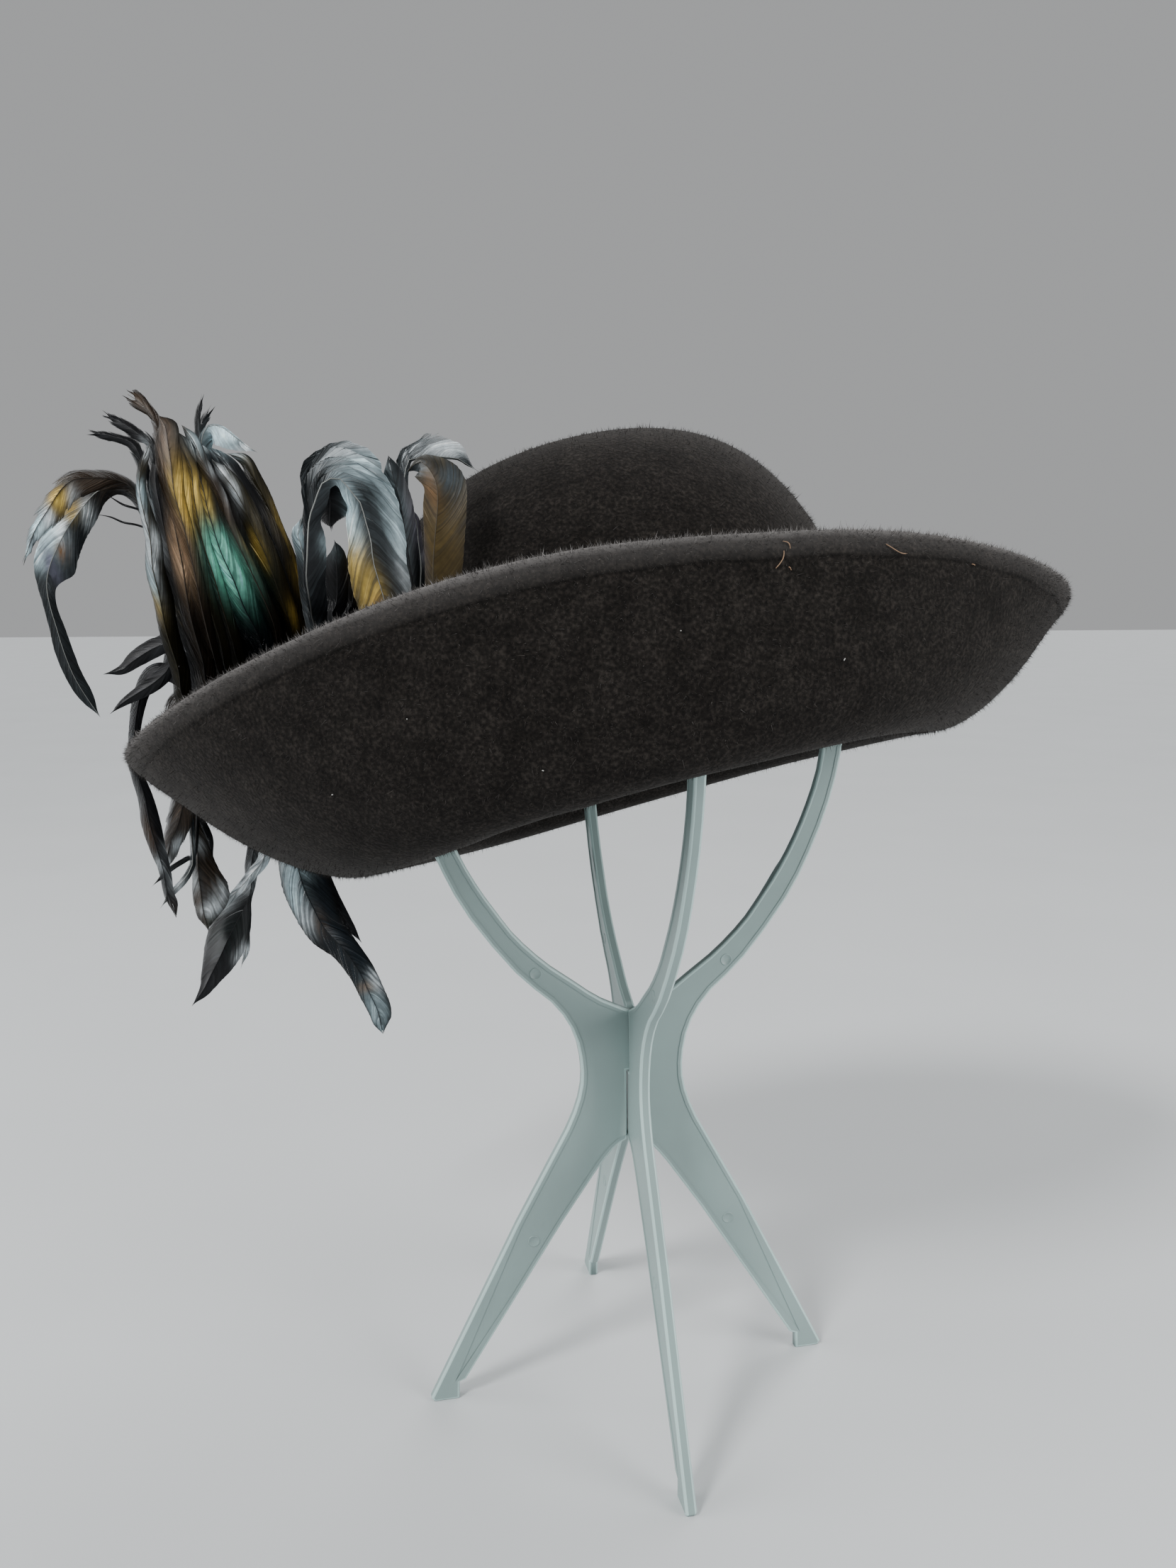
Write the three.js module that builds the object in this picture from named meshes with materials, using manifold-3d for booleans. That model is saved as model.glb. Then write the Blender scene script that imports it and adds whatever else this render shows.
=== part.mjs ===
// A wide-brim felt hat with cock feathers, resting on a four-legged plastic hat stand.
// Millimetres, +Z up. The stand stands on its axis; the hat sits on its arms at a tilt.
import * as THREE from "three";
import { mergeVertices } from "three/addons/utils/BufferGeometryUtils.js";
import Module from "manifold-3d";

// Stand: two flat plates of one outline, halved into each other at a right angle
const webThick = 3.4;
const rimThick = 4;
const rimWide = 2;
const lapHeight = 126;
const lapGap = 0.3;
const slotLong = 60;
const lapWide = 4.6;
const standTurn = 12.45;
const plasticColour = 0x8fa19b;

// One half of a plate's outline, from the axis out: reach from the axis and height
const outerLeg = [
  { reach: 79.6, height: 1.6 },
  { reach: 45.5, height: 69 },
];
const outerWaist = [
  { reach: 45.5, height: 69 },
  { reach: 34, height: 90 },
  { reach: 25, height: 106.5 },
  { reach: 20.6, height: 119 },
  { reach: 20, height: 130 },
  { reach: 22.7, height: 142.5 },
  { reach: 30, height: 154.2 },
  { reach: 43.6, height: 166.8 },
  { reach: 61, height: 189.5 },
  { reach: 71, height: 208.5 },
  { reach: 78.6, height: 229 },
  { reach: 82.6, height: 248 },
  { reach: 82.5, height: 260 },
  { reach: 79.2, height: 274 },
  { reach: 74.2, height: 289 },
  { reach: 67, height: 306 },
  { reach: 58.2, height: 322.6 },
];
const armTip = { reach: 53.4, height: 325, radius: 4.6 };
const innerArm = [
  { reach: 50.2, height: 319.4 },
  { reach: 59.6, height: 302 },
  { reach: 67.4, height: 284 },
  { reach: 72.8, height: 268 },
  { reach: 75, height: 255 },
  { reach: 73.6, height: 240 },
  { reach: 69.4, height: 226 },
  { reach: 64, height: 213 },
  { reach: 57.6, height: 201 },
  { reach: 50.6, height: 190.5 },
  { reach: 43.6, height: 181 },
  { reach: 33, height: 170.6 },
  { reach: 22.8, height: 162.9 },
  { reach: 12.6, height: 155.5 },
  { reach: 0, height: 149.5 },
];
const innerLeg = [
  { reach: 0, height: 99 },
  { reach: 6, height: 96.5 },
  { reach: 13, height: 88.5 },
  { reach: 21, height: 77 },
  { reach: 30.5, height: 63.2 },
  { reach: 46.5, height: 38.2 },
];
const innerFoot = [
  { reach: 66.2, height: 7.6 },
  { reach: 68.6, height: 6.6 },
  { reach: 68.8, height: 0 },
  { reach: 78.6, height: 0 },
];

// Hat: its own frame has x along the brim's length, y across and z up through the crown
const hatHeight = 228;
const hatPitch = -10.3;
const hatRoll = -14.3;
const felt = 2.6;
const weltThick = 4.4;
const crownSize = { length: 90.5, width: 88.4, height: 130.5 };
const crownPlace = { x: 7.5, y: -1.6 };
const crownBulge = 3;
const headLine = 17;
const seam = 0.3;
const brimSize = { length: 170.5, width: 118 };
const brimPlace = { x: -0.5, y: 0 };
const brimDepth = 90;
const roundSteps = 52;
const feltColour = 0x1c1916;

// Brim section by angle round the hat, from the right tip by way of the far side.
// edge is the height of the edge. The section is a cubic: from the head line it dips to
// low at the distance out, then turns up by way of a point flare beyond the edge, at rise.
const brimFolds = [
  { angle: 0, edge: 33, out: 6, low: -16, flare: -36, rise: 2 },
  { angle: 30, edge: 38, out: 6, low: -14, flare: -26, rise: 2 },
  { angle: 60, edge: 48, out: 6, low: -13, flare: 2, rise: 2 },
  { angle: 90, edge: 55, out: 6, low: -16, flare: 10, rise: 2 },
  { angle: 120, edge: 60, out: 6, low: -20, flare: 2, rise: 2 },
  { angle: 150, edge: 62, out: 6, low: -20, flare: -26, rise: 4 },
  { angle: 180, edge: 62, out: 6, low: -19, flare: -40, rise: 6 },
  { angle: 195, edge: 62, out: 6, low: -18, flare: -35, rise: 5 },
  { angle: 210, edge: 63.5, out: 6, low: -18, flare: -27, rise: 4 },
  { angle: 225, edge: 66.8, out: 6, low: -18, flare: -11, rise: 3 },
  { angle: 240, edge: 70.5, out: 6, low: -14, flare: 2, rise: 2 },
  { angle: 255, edge: 73.3, out: 6, low: -11, flare: 8, rise: 2 },
  { angle: 270, edge: 71.8, out: 6, low: -9, flare: 10, rise: 2 },
  { angle: 285, edge: 65.2, out: 6, low: -10, flare: 8, rise: 2 },
  { angle: 300, edge: 58.6, out: 6, low: -11, flare: 4, rise: 2 },
  { angle: 315, edge: 49.4, out: 6, low: -12, flare: -6, rise: 0 },
  { angle: 330, edge: 40.5, out: 6, low: -15, flare: -20, rise: -1 },
  { angle: 345, edge: 34.5, out: 6, low: -16, flare: -30, rise: 0 },
];

// Feathers in the hat's frame: the width of the vane and the way its shaft takes from the
// binding up over the brim to its tip. The first bunch stands behind the turned-up side and
// falls over the low end of the brim, and the second curls beside the crown.
const bunchFeathers = [
  { wide: 17, shaft: [[-118, -2, 26], [-128, -14, 66], [-126, -26, 100], [-122, -32, 140],
    [-125, -25, 168], [-133, -15, 184], [-143, -8, 194]] },
  { wide: 12, shaft: [[-122, -4, 26], [-141, -14, 72], [-139, -28, 106], [-134, -33, 135],
    [-133, -30, 156], [-138, -21, 173], [-150, -14, 185]] },
  { wide: 9, shaft: [[-124, 2, 28], [-150, -8, 72], [-147, -20, 104], [-142, -25, 134],
    [-140, -22, 154], [-146, -17, 170], [-156, -12, 180]] },
  { wide: 12, shaft: [[-122, 6, 30], [-150, 4, 80], [-151, -2, 112], [-147, -8, 145],
    [-155, -11, 163], [-167, -14, 168], [-180, -14, 158], [-190, -12, 142]] },
  { wide: 8, shaft: [[-118, 8, 28], [-146, 6, 84], [-148, 2, 130], [-150, 0, 153],
    [-160, -2, 163], [-172, -4, 158], [-184, -3, 142], [-190, -1, 122], [-190, 1, 102],
    [-183, 4, 82]] },
  { wide: 13, shaft: [[-114, -4, 26], [-122, -14, 74], [-115, -27, 112], [-113, -32, 140],
    [-114, -28, 157], [-112, -22, 177]] },
  { wide: 13, shaft: [[-110, -2, 26], [-112, -12, 80], [-106, -24, 112], [-104, -28, 138],
    [-108, -24, 154], [-115, -15, 164]] },
  { wide: 9, shaft: [[-110, 4, 28], [-112, -2, 100], [-113, -8, 142], [-113, -13, 162],
    [-108, -16, 168], [-101, -20, 164], [-97, -22, 155]] },
  { wide: 13, shaft: [[-106, 0, 26], [-97, -8, 81], [-95, -20, 110], [-96, -25, 134],
    [-101, -22, 150], [-110, -13, 161]] },
  { wide: 14, shaft: [[-112, 8, 28], [-120, 10, 80], [-118, 6, 130], [-122, 4, 160],
    [-132, 8, 180], [-142, 14, 186]] },
  { wide: 14, shaft: [[-108, 8, 28], [-106, 14, 80], [-103, 14, 125], [-106, 12, 150],
    [-114, 16, 170]] },
  { wide: 8, shaft: [[-120, 6, 30], [-144, 8, 78], [-156, 11, 104], [-168, 14, 103],
    [-181, 12, 98]] },
  { wide: 7, shaft: [[-122, 8, 30], [-150, 12, 72], [-162, 16, 93], [-171, 18, 94],
    [-182, 16, 85]] },
  { wide: 9, shaft: [[-122, 6, 30], [-148, 16, 82], [-163, 22, 97], [-174, 26, 92],
    [-181, 29, 66], [-184, 31, 38], [-186, 34, 4]] },
  { wide: 10, shaft: [[-120, 10, 30], [-150, 26, 80], [-165, 33, 88], [-174, 38, 70],
    [-176, 40, 42], [-186, 37, 22]] },
  { wide: 13, shaft: [[-118, 12, 30], [-146, 36, 76], [-158, 45, 82], [-167, 50, 62],
    [-170, 52, 36], [-175, 52, 16], [-180, 50, -5]] },
  { wide: 16, shaft: [[-115, 14, 30], [-138, 46, 74], [-148, 57, 78], [-154, 64, 62],
    [-156, 67, 30], [-161, 66, 6], [-175, 62, -14], [-195, 58, -33]] },
  { wide: 18, shaft: [[-112, 16, 30], [-128, 54, 74], [-138, 72, 80], [-144, 82, 62],
    [-147, 87, 30], [-146, 86, -2], [-136, 81, -28], [-128, 78, -54], [-126, 76, -68]] },
  { wide: 14, shaft: [[-108, 18, 30], [-112, 62, 76], [-116, 88, 82], [-122, 98, 60],
    [-126, 102, 30], [-128, 104, 4]] },
];
const curlFeathers = [
  { wide: 19, shaft: [[-66, -84, 20], [-80, -84, 62], [-78, -87, 88], [-73, -90, 104],
    [-64, -90, 109], [-58, -90, 100], [-57, -88, 84], [-60, -84, 70]] },
  { wide: 7, shaft: [[-56, -84, 20], [-51, -80, 74], [-49, -83, 90], [-47, -86, 104],
    [-46, -85, 120]] },
  { wide: 5, shaft: [[-50, -84, 20], [-49, -81, 74], [-44, -82, 90], [-42, -82, 103],
    [-44, -80, 111]] },
  { wide: 9, shaft: [[-46, -84, 20], [-47, -76, 90], [-45, -78, 109], [-40, -78, 118],
    [-33, -78, 122], [-27, -77, 120], [-22, -74, 112]] },
  { wide: 14, shaft: [[-44, -88, 20], [-42, -86, 74], [-38, -89, 94], [-34, -89, 108],
    [-31, -80, 116], [-30, -72, 113]] },
  { wide: 7, shaft: [[-72, -84, 20], [-76, -76, 75], [-73, -79, 88], [-70, -80, 101]] },
  { wide: 9, shaft: [[-66, -82, 20], [-70, -74, 76], [-68, -76, 94]] },
  { wide: 7, shaft: [[-76, -80, 20], [-84, -68, 85], [-81, -71, 100], [-83, -74, 111]] },
];
const shaftThick = 1.8;
const bunchBinding = { at: [-114, 5, 20], half: [22, 22, 14] };
const curlBinding = { at: [-60, -86, 16], half: [26, 13, 12] };
const seatGap = 0.35;
const bunchColour = 0x1d2622;
const curlColour = 0x2a3238;

// A vane is narrow at its root, full from its middle on and rounded at its tip.
const vane = { root: 0.4, from: 0.15, full: 0.5, tip: 0.055, roundness: 7 };

const rad = THREE.MathUtils.degToRad;

// Solids
const wasm = await Module();
wasm.setup();

function solidOf(geometry) {
  const bare = geometry.clone();
  bare.deleteAttribute("normal");
  bare.deleteAttribute("uv");
  const merged = mergeVertices(bare, 1e-3);
  return new wasm.Manifold(
    new wasm.Mesh({
      numProp: 3,
      vertProperties: merged.attributes.position.array,
      triVerts: new Uint32Array(merged.index.array),
    }),
  );
}

function geometryOf(solid) {
  const mesh = solid.getMesh();
  const geometry = new THREE.BufferGeometry();
  geometry.setAttribute("position", new THREE.BufferAttribute(mesh.vertProperties, 3));
  geometry.setIndex(new THREE.BufferAttribute(mesh.triVerts, 1));
  geometry.computeVertexNormals();
  return geometry;
}

function reshape(geometry, place) {
  const at = geometry.attributes.position;
  const point = new THREE.Vector3();
  for (let i = 0; i < at.count; i++) {
    point.fromBufferAttribute(at, i);
    place(point);
    at.setXYZ(i, point.x, point.y, point.z);
  }
  return geometry;
}

function piece(name, geometry, colour, roughness) {
  const material = new THREE.MeshStandardMaterial({ color: colour, roughness, metalness: 0 });
  const mesh = new THREE.Mesh(geometry, material);
  mesh.name = name;
  return mesh;
}

// Stand plates
function halfOutline() {
  const flat = (rows) => rows.map((row) => new THREE.Vector2(row.reach, row.height));
  const path = new THREE.Path();
  path.moveTo(outerLeg[0].reach, outerLeg[0].height);
  path.lineTo(outerLeg[1].reach, outerLeg[1].height);
  path.splineThru(flat(outerWaist.slice(1)));
  const start = Math.atan2(
    outerWaist.at(-1).height - armTip.height,
    outerWaist.at(-1).reach - armTip.reach,
  );
  path.absarc(armTip.reach, armTip.height, armTip.radius, start, start + Math.PI, false);
  path.splineThru(flat(innerArm));
  const upper = path.getPoints(2);
  const lower = new THREE.Path();
  lower.moveTo(innerLeg[0].reach, innerLeg[0].height);
  lower.splineThru(flat(innerLeg.slice(1)));
  flat(innerFoot).forEach((point) => lower.lineTo(point.x, point.y));
  return lower.getPoints(2).concat(upper);
}

// The rest of the outline is the same half mirrored about the axis.
function plateOutline() {
  const half = halfOutline();
  const other = half
    .slice(1, -1)
    .reverse()
    .map((point) => new THREE.Vector2(-point.x, point.y));
  return half.concat(other);
}

function distanceTo(outline, point) {
  const line = new THREE.Line3();
  const near = new THREE.Vector3();
  const spot = new THREE.Vector3(point.x, point.y, 0);
  return Math.min(
    ...outline.map((from, i) => {
      const to = outline[(i + 1) % outline.length];
      line.start.set(from.x, from.y, 0);
      line.end.set(to.x, to.y, 0);
      return line.closestPointToPoint(spot, true, near).distanceTo(spot);
    }),
  );
}

// Points that fold back on themselves in a tight corner lie too near the outline and go.
function inset(outline, by) {
  const count = outline.length;
  const moved = outline.map((point, i) => {
    const before = outline[(i + count - 1) % count];
    const after = outline[(i + 1) % count];
    const along = after.clone().sub(before).normalize();
    return new THREE.Vector2(point.x - along.y * by, point.y + along.x * by);
  });
  return moved.filter((point) => distanceTo(outline, point) > by * 0.9);
}

function slab(outline, thick) {
  const shape = new THREE.Shape(outline);
  const geometry = new THREE.ExtrudeGeometry(shape, { depth: thick, bevelEnabled: false });
  return solidOf(geometry.translate(0, 0, -thick / 2).rotateX(Math.PI / 2));
}

// A web with a slightly raised rim all round, slotted on its axis below or above the lap height.
function standPlate(slotBelow) {
  const outline = plateOutline();
  const rim = slab(outline, rimThick).subtract(slab(inset(outline, rimWide), rimThick + 1));
  const plate = slab(outline, webThick).add(rim);
  const middle = slotBelow
    ? lapHeight + lapGap / 2 - slotLong / 2
    : lapHeight - lapGap / 2 + slotLong / 2;
  const slot = new THREE.BoxGeometry(lapWide, rimThick + 2, slotLong).translate(0, 0, middle);
  return geometryOf(plate.subtract(solidOf(slot)));
}

// Crown: a round felt dome, its wall one thickness all over
function crownShell() {
  const mean = (crownSize.length + crownSize.width) / 2;
  const steps = 10;
  const dome = (inwards, base) => {
    const radius = mean - inwards;
    const height = crownSize.height - inwards;
    const last = Math.asin(Math.pow(base / height, crownBulge / 2));
    const row = [];
    for (let i = 0; i <= steps; i++) {
      const turn = Math.PI / 2 + (last - Math.PI / 2) * Math.pow(i / steps, 0.8);
      row.push(
        new THREE.Vector2(
          radius * Math.pow(Math.max(0, Math.cos(turn)), 2 / crownBulge),
          height * Math.pow(Math.sin(turn), 2 / crownBulge),
        ),
      );
    }
    row[0].x = 0;
    return row;
  };
  const base = headLine + seam;
  const profile = dome(0, base).concat(dome(felt, base).reverse()).reverse();
  const geometry = new THREE.LatheGeometry(profile, 36).rotateX(Math.PI / 2);
  return reshape(geometry, (point) => {
    point.x = crownPlace.x + (point.x * crownSize.length) / mean;
    point.y = crownPlace.y + (point.y * crownSize.width) / mean;
  });
}

// Brim: the fold table is read as smooth closed curves of the angle
function foldAt(angle) {
  const count = brimFolds.length;
  const turn = ((angle % 360) + 360) % 360;
  const rowAt = (i) => {
    const lap = Math.floor(i / count);
    const row = brimFolds[i - lap * count];
    return { ...row, angle: row.angle + 360 * lap };
  };
  const index = brimFolds.findLastIndex((row) => row.angle <= turn);
  const [a, b, c, d] = [-1, 0, 1, 2].map((step) => rowAt(index + step));
  const t = (turn - b.angle) / (c.angle - b.angle);
  const blend = (key) => {
    const span = c.angle - b.angle;
    const slopeB = ((c[key] - a[key]) / (c.angle - a.angle)) * span;
    const slopeC = ((d[key] - b[key]) / (d.angle - b.angle)) * span;
    const rise = c[key] - b[key];
    const bend = 3 * rise - 2 * slopeB - slopeC;
    const swing = slopeB + slopeC - 2 * rise;
    return b[key] + slopeB * t + bend * t * t + swing * t * t * t;
  };
  return {
    edge: blend("edge"),
    out: blend("out"),
    low: blend("low"),
    flare: blend("flare"),
    rise: blend("rise"),
  };
}

// A point of the brim's middle surface: along is 0 at the head line and 1 at the edge.
function brimPoint(angle, along) {
  const turn = rad(angle);
  const fold = foldAt(angle);
  const inner = new THREE.Vector3(
    crownPlace.x + (crownSize.length - felt / 2) * Math.cos(turn),
    crownPlace.y + (crownSize.width - felt / 2) * Math.sin(turn),
    headLine - seam,
  );
  const edge = new THREE.Vector3(
    brimPlace.x + brimSize.length * Math.cos(turn),
    brimPlace.y + brimSize.width * Math.sin(turn),
    fold.edge,
  );
  const away = new THREE.Vector3(edge.x - inner.x, edge.y - inner.y, 0);
  const reach = away.length();
  away.divideScalar(reach);
  const dip = inner.clone().addScaledVector(away, fold.out).setZ(fold.low);
  const flare = edge.clone().addScaledVector(away, fold.flare).setZ(fold.rise);
  return new THREE.CubicBezierCurve3(inner, dip, flare, edge).getPoint(along);
}

function brimNormal(angle, along) {
  const small = 0.01;
  const low = Math.max(0, along - small);
  const high = Math.min(1, along + small);
  const across = brimPoint(angle, high).sub(brimPoint(angle, low));
  const round = brimPoint(angle + 1, along).sub(brimPoint(angle - 1, along));
  return round.cross(across).normalize();
}

// Stations along the section and the thickness there: plain felt, then the turned welt
const brimStations = [
  { along: 0, thick: felt },
  { along: 0.06, thick: felt },
  { along: 0.13, thick: felt },
  { along: 0.2, thick: felt },
  { along: 0.3, thick: felt },
  { along: 0.42, thick: felt },
  { along: 0.56, thick: felt },
  { along: 0.7, thick: felt },
  { along: 0.8, thick: felt },
  { along: 0.9, thick: felt + 0.2 },
  { along: 0.93, thick: weltThick },
  { along: 0.975, thick: weltThick },
  { along: 0.992, thick: felt + 0.6 },
];

function brimRing(grow) {
  const over = brimStations.map((row) => ({ along: row.along, offset: row.thick / 2 + grow }));
  const under = over.map((row) => ({ along: row.along, offset: -row.offset })).reverse();
  const loop = over.concat({ along: 1 + grow / brimDepth, offset: 0 }, under);
  const sheet = new THREE.PlaneGeometry(1, 1, roundSteps, loop.length);
  reshape(sheet, (point) => {
    const angle = Math.round((point.x + 0.5) * roundSteps) % roundSteps;
    const row = loop[Math.round((point.y + 0.5) * loop.length) % loop.length];
    const turn = (angle * 360) / roundSteps;
    const middle = brimPoint(turn, row.along);
    point.copy(middle.addScaledVector(brimNormal(turn, row.along), row.offset));
  });
  return sheet;
}

// Plumes: each feather is a flat blade along its shaft, wider past its middle, that faces
// across the hat. All of a plume are fused to the binding they spring from.
function vaneAt(along) {
  const swell = THREE.MathUtils.smoothstep(along, vane.from, vane.full);
  const spread = vane.root + (1 - vane.root) * swell;
  return spread * Math.max(vane.tip, Math.sqrt(1 - along ** vane.roundness));
}

function blade(feather) {
  const steps = 2 * (feather.shaft.length - 1);
  const shaft = new THREE.CatmullRomCurve3(feather.shaft.map((at) => new THREE.Vector3(...at)));
  const faces = new THREE.Vector3(0, -1, 0);
  return reshape(new THREE.CylinderGeometry(1, 1, 1, 4, steps), (point) => {
    const along = point.y + 0.5;
    const { x: side, z: bulge } = point;
    const heading = shaft.getTangent(along);
    const across = new THREE.Vector3().crossVectors(heading, faces).normalize();
    const out = new THREE.Vector3().crossVectors(across, heading);
    point.copy(shaft.getPoint(along));
    point.addScaledVector(across, (side * vaneAt(along) * feather.wide) / 2);
    point.addScaledVector(out, (bulge * shaftThick) / 2);
  });
}

// The brim's felt cuts off what a binding would have beneath it.
function plume(feathers, binding, cutter) {
  const pad = new THREE.SphereGeometry(1, 12, 7).scale(...binding.half).translate(...binding.at);
  const solid = feathers.reduce((sum, row) => sum.add(solidOf(blade(row))), solidOf(pad));
  const bodies = solid.subtract(cutter).decompose();
  return geometryOf(bodies.sort((a, b) => b.volume() - a.volume())[0]);
}

// Assembly
const stand = new THREE.Group();
stand.rotation.z = rad(standTurn);
stand.add(piece("stand_plate_a", standPlate(true), plasticColour, 0.45));
const crossPlate = new THREE.Group();
crossPlate.rotation.z = Math.PI / 2;
crossPlate.add(piece("stand_plate_b", standPlate(false), plasticColour, 0.45));
stand.add(crossPlate);

const hat = new THREE.Group();
hat.position.set(0, 0, hatHeight);
hat.rotation.set(rad(hatPitch), rad(hatRoll), 0);
hat.add(piece("crown", crownShell(), feltColour, 0.95));
hat.add(piece("brim", geometryOf(solidOf(brimRing(0))), feltColour, 0.95));
const brimRoom = solidOf(brimRing(seatGap));
hat.add(piece("plume_bunch", plume(bunchFeathers, bunchBinding, brimRoom), bunchColour, 0.35));
hat.add(piece("plume_curls", plume(curlFeathers, curlBinding, brimRoom), curlColour, 0.35));

// The frame's origin is under the middle of the whole, on the floor.
const whole = new THREE.Group();
whole.add(stand, hat);
const bounds = new THREE.Box3().setFromObject(whole, true);
const middle = bounds.getCenter(new THREE.Vector3());
whole.position.set(-middle.x, -middle.y, -bounds.min.z);
const group = new THREE.Group();
group.add(whole);

export default group;
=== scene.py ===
"""A feathered wide-brim felt hat resting on a slotted plastic stand."""

import math
from typing import NamedTuple

import bmesh
import bpy
import numpy as np
from bpy.props import FloatProperty, FloatVectorProperty, IntProperty, PointerProperty
from mathutils import Matrix, Vector
from mathutils.bvhtree import BVHTree


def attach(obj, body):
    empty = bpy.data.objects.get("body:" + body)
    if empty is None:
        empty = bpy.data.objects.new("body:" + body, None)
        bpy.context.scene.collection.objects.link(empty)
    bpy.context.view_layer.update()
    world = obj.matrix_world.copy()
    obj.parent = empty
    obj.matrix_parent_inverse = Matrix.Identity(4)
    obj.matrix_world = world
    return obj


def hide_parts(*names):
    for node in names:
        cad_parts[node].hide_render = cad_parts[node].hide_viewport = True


bl_info = {
    "name": "Feathered hat on a stand",
    "version": (1, 0, 0),
    "blender": (4, 5, 0),
    "location": "3D View > Sidebar > Hat",
    "description": "Builds the felt, feathers, trimmings, stand and stage of a hat",
    "category": "Add Mesh",
}

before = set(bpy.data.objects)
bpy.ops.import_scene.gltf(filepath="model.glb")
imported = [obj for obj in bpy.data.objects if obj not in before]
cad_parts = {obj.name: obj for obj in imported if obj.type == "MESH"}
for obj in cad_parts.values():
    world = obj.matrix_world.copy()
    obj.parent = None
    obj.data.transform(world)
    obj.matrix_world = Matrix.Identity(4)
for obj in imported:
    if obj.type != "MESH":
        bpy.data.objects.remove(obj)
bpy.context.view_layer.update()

MM = 0.001
BODY = "root"

# The hat's own frame, as the solids use it: x along the brim, z up through the crown
STAND_AXIS = Vector((31.548 * MM, -7.752 * MM, 0))
HAT_HEIGHT = 228 * MM
HAT_PITCH = math.radians(-10.3)
HAT_ROLL = math.radians(-14.3)
HAT_FRAME = (
    Matrix.Translation(STAND_AXIS + Vector((0, 0, HAT_HEIGHT)))
    @ Matrix.Rotation(HAT_PITCH, 4, "X")
    @ Matrix.Rotation(HAT_ROLL, 4, "Y")
)

# The felt's material reads how far it lies below the brim's edge, down to this depth
HEM_REACH = 12 * MM

# The photograph's camera
PHOTO_WIDE = 1659
PHOTO_HIGH = 2212
PHOTO_FOCAL = 1661
CAMERA_PLACE = STAND_AXIS + Vector((-15.9, -429.2, 301.8)) * MM
CAMERA_PITCH = math.radians(8.67)
CAMERA_ROLL = math.radians(-0.38)
SENSOR_HIGH = 36


def camera_axes():
    """The camera's right, up and backward directions."""
    right = Vector((1, 0, 0))
    up = Vector((0, math.sin(CAMERA_PITCH), math.cos(CAMERA_PITCH)))
    turn, rise = math.cos(CAMERA_ROLL), math.sin(CAMERA_ROLL)
    level = right * turn + up * rise
    upright = up * turn - right * rise
    return level, upright, level.cross(upright)


def line_of_sight(x, y):
    """The direction in which one of the photograph's pixels looks."""
    level, upright, back = camera_axes()
    return level * (x - PHOTO_WIDE / 2) - upright * (y - PHOTO_HIGH / 2) - back * PHOTO_FOCAL


# Places picked on enlarged crops of the photograph


class Crop(NamedTuple):
    """A crop's top left corner in the photograph's pixels, and how far it is enlarged."""

    left: int
    top: int
    enlarged: float


BUNCH_CROP = Crop(20, 530, 3.6)
DROOPING_CROP = Crop(140, 1060, 3.8)
CURL_CROP = Crop(380, 580, 4.6)
FROM_ROW_FRAME = HAT_FRAME.inverted()
EYE = FROM_ROW_FRAME @ CAMERA_PLACE / MM


def hat_place(crop, x, y, depth):
    """What a crop's pixel shows, at a depth along the hat's y axis in millimetres."""
    ray = line_of_sight(crop.left + x / crop.enlarged, crop.top + y / crop.enlarged)
    ray = FROM_ROW_FRAME.to_3x3() @ ray
    return EYE + ray * ((depth - EYE.y) / ray.y)


def pixel_size(crop, depth):
    """How many millimetres a crop's pixel covers at a depth along the hat's y axis."""
    return (depth - EYE.y) / PHOTO_FOCAL / crop.enlarged


def shown(crop, picks):
    """The part of a feather that shows, as rows in millimetres of the hat's frame.

    Each pick is a pixel on the shaft, its depth along the hat's y axis in millimetres, then
    the vane's width left and right of the shaft, in the crop's pixels.
    """
    rows = []
    for x, y, depth, left, right in picks:
        place = hat_place(crop, x, y, depth)
        size = pixel_size(crop, depth)
        widths = round(left * size, 1), round(right * size, 1)
        rows.append((round(place.x), depth, round(place.z), *widths))
    return rows


# Node helpers


def new_material(name):
    material = bpy.data.materials.new(name)
    material.use_nodes = True
    return material, material.node_tree.nodes, material.node_tree.links


def object_noise(nodes, links, scale, detail=4.0, stretch=(1, 1, 1)):
    """Noise over the piece's own coordinates, in metres."""
    place = nodes.new("ShaderNodeTexCoord")
    mapping = nodes.new("ShaderNodeMapping")
    mapping.inputs["Scale"].default_value = stretch
    noise = nodes.new("ShaderNodeTexNoise")
    noise.inputs["Scale"].default_value = scale
    noise.inputs["Detail"].default_value = detail
    links.new(place.outputs["Object"], mapping.inputs["Vector"])
    links.new(mapping.outputs["Vector"], noise.inputs["Vector"])
    return noise.outputs["Fac"]


def colour_ramp(nodes, links, value, stops):
    ramp = nodes.new("ShaderNodeValToRGB")
    while len(ramp.color_ramp.elements) < len(stops):
        ramp.color_ramp.elements.new(0.5)
    for element, (position, colour) in zip(ramp.color_ramp.elements, stops):
        element.position = position
        element.color = (*colour, 1)
    links.new(value, ramp.inputs["Fac"])
    return ramp.outputs["Color"]


def mixed(nodes, links, mode, amount, first, second):
    mix = nodes.new("ShaderNodeMix")
    mix.data_type = "RGBA"
    mix.blend_type = mode
    mix.inputs["Factor"].default_value = amount
    links.new(first, mix.inputs["A"])
    links.new(second, mix.inputs["B"])
    return mix.outputs["Result"]


def bumped(nodes, links, shader, height, strength, distance):
    bump = nodes.new("ShaderNodeBump")
    bump.inputs["Strength"].default_value = strength
    bump.inputs["Distance"].default_value = distance
    links.new(height, bump.inputs["Height"])
    links.new(bump.outputs["Normal"], shader.inputs["Normal"])


def shade(colour, factor):
    return tuple(min(1.0, part * factor) for part in colour)


# Materials


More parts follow.
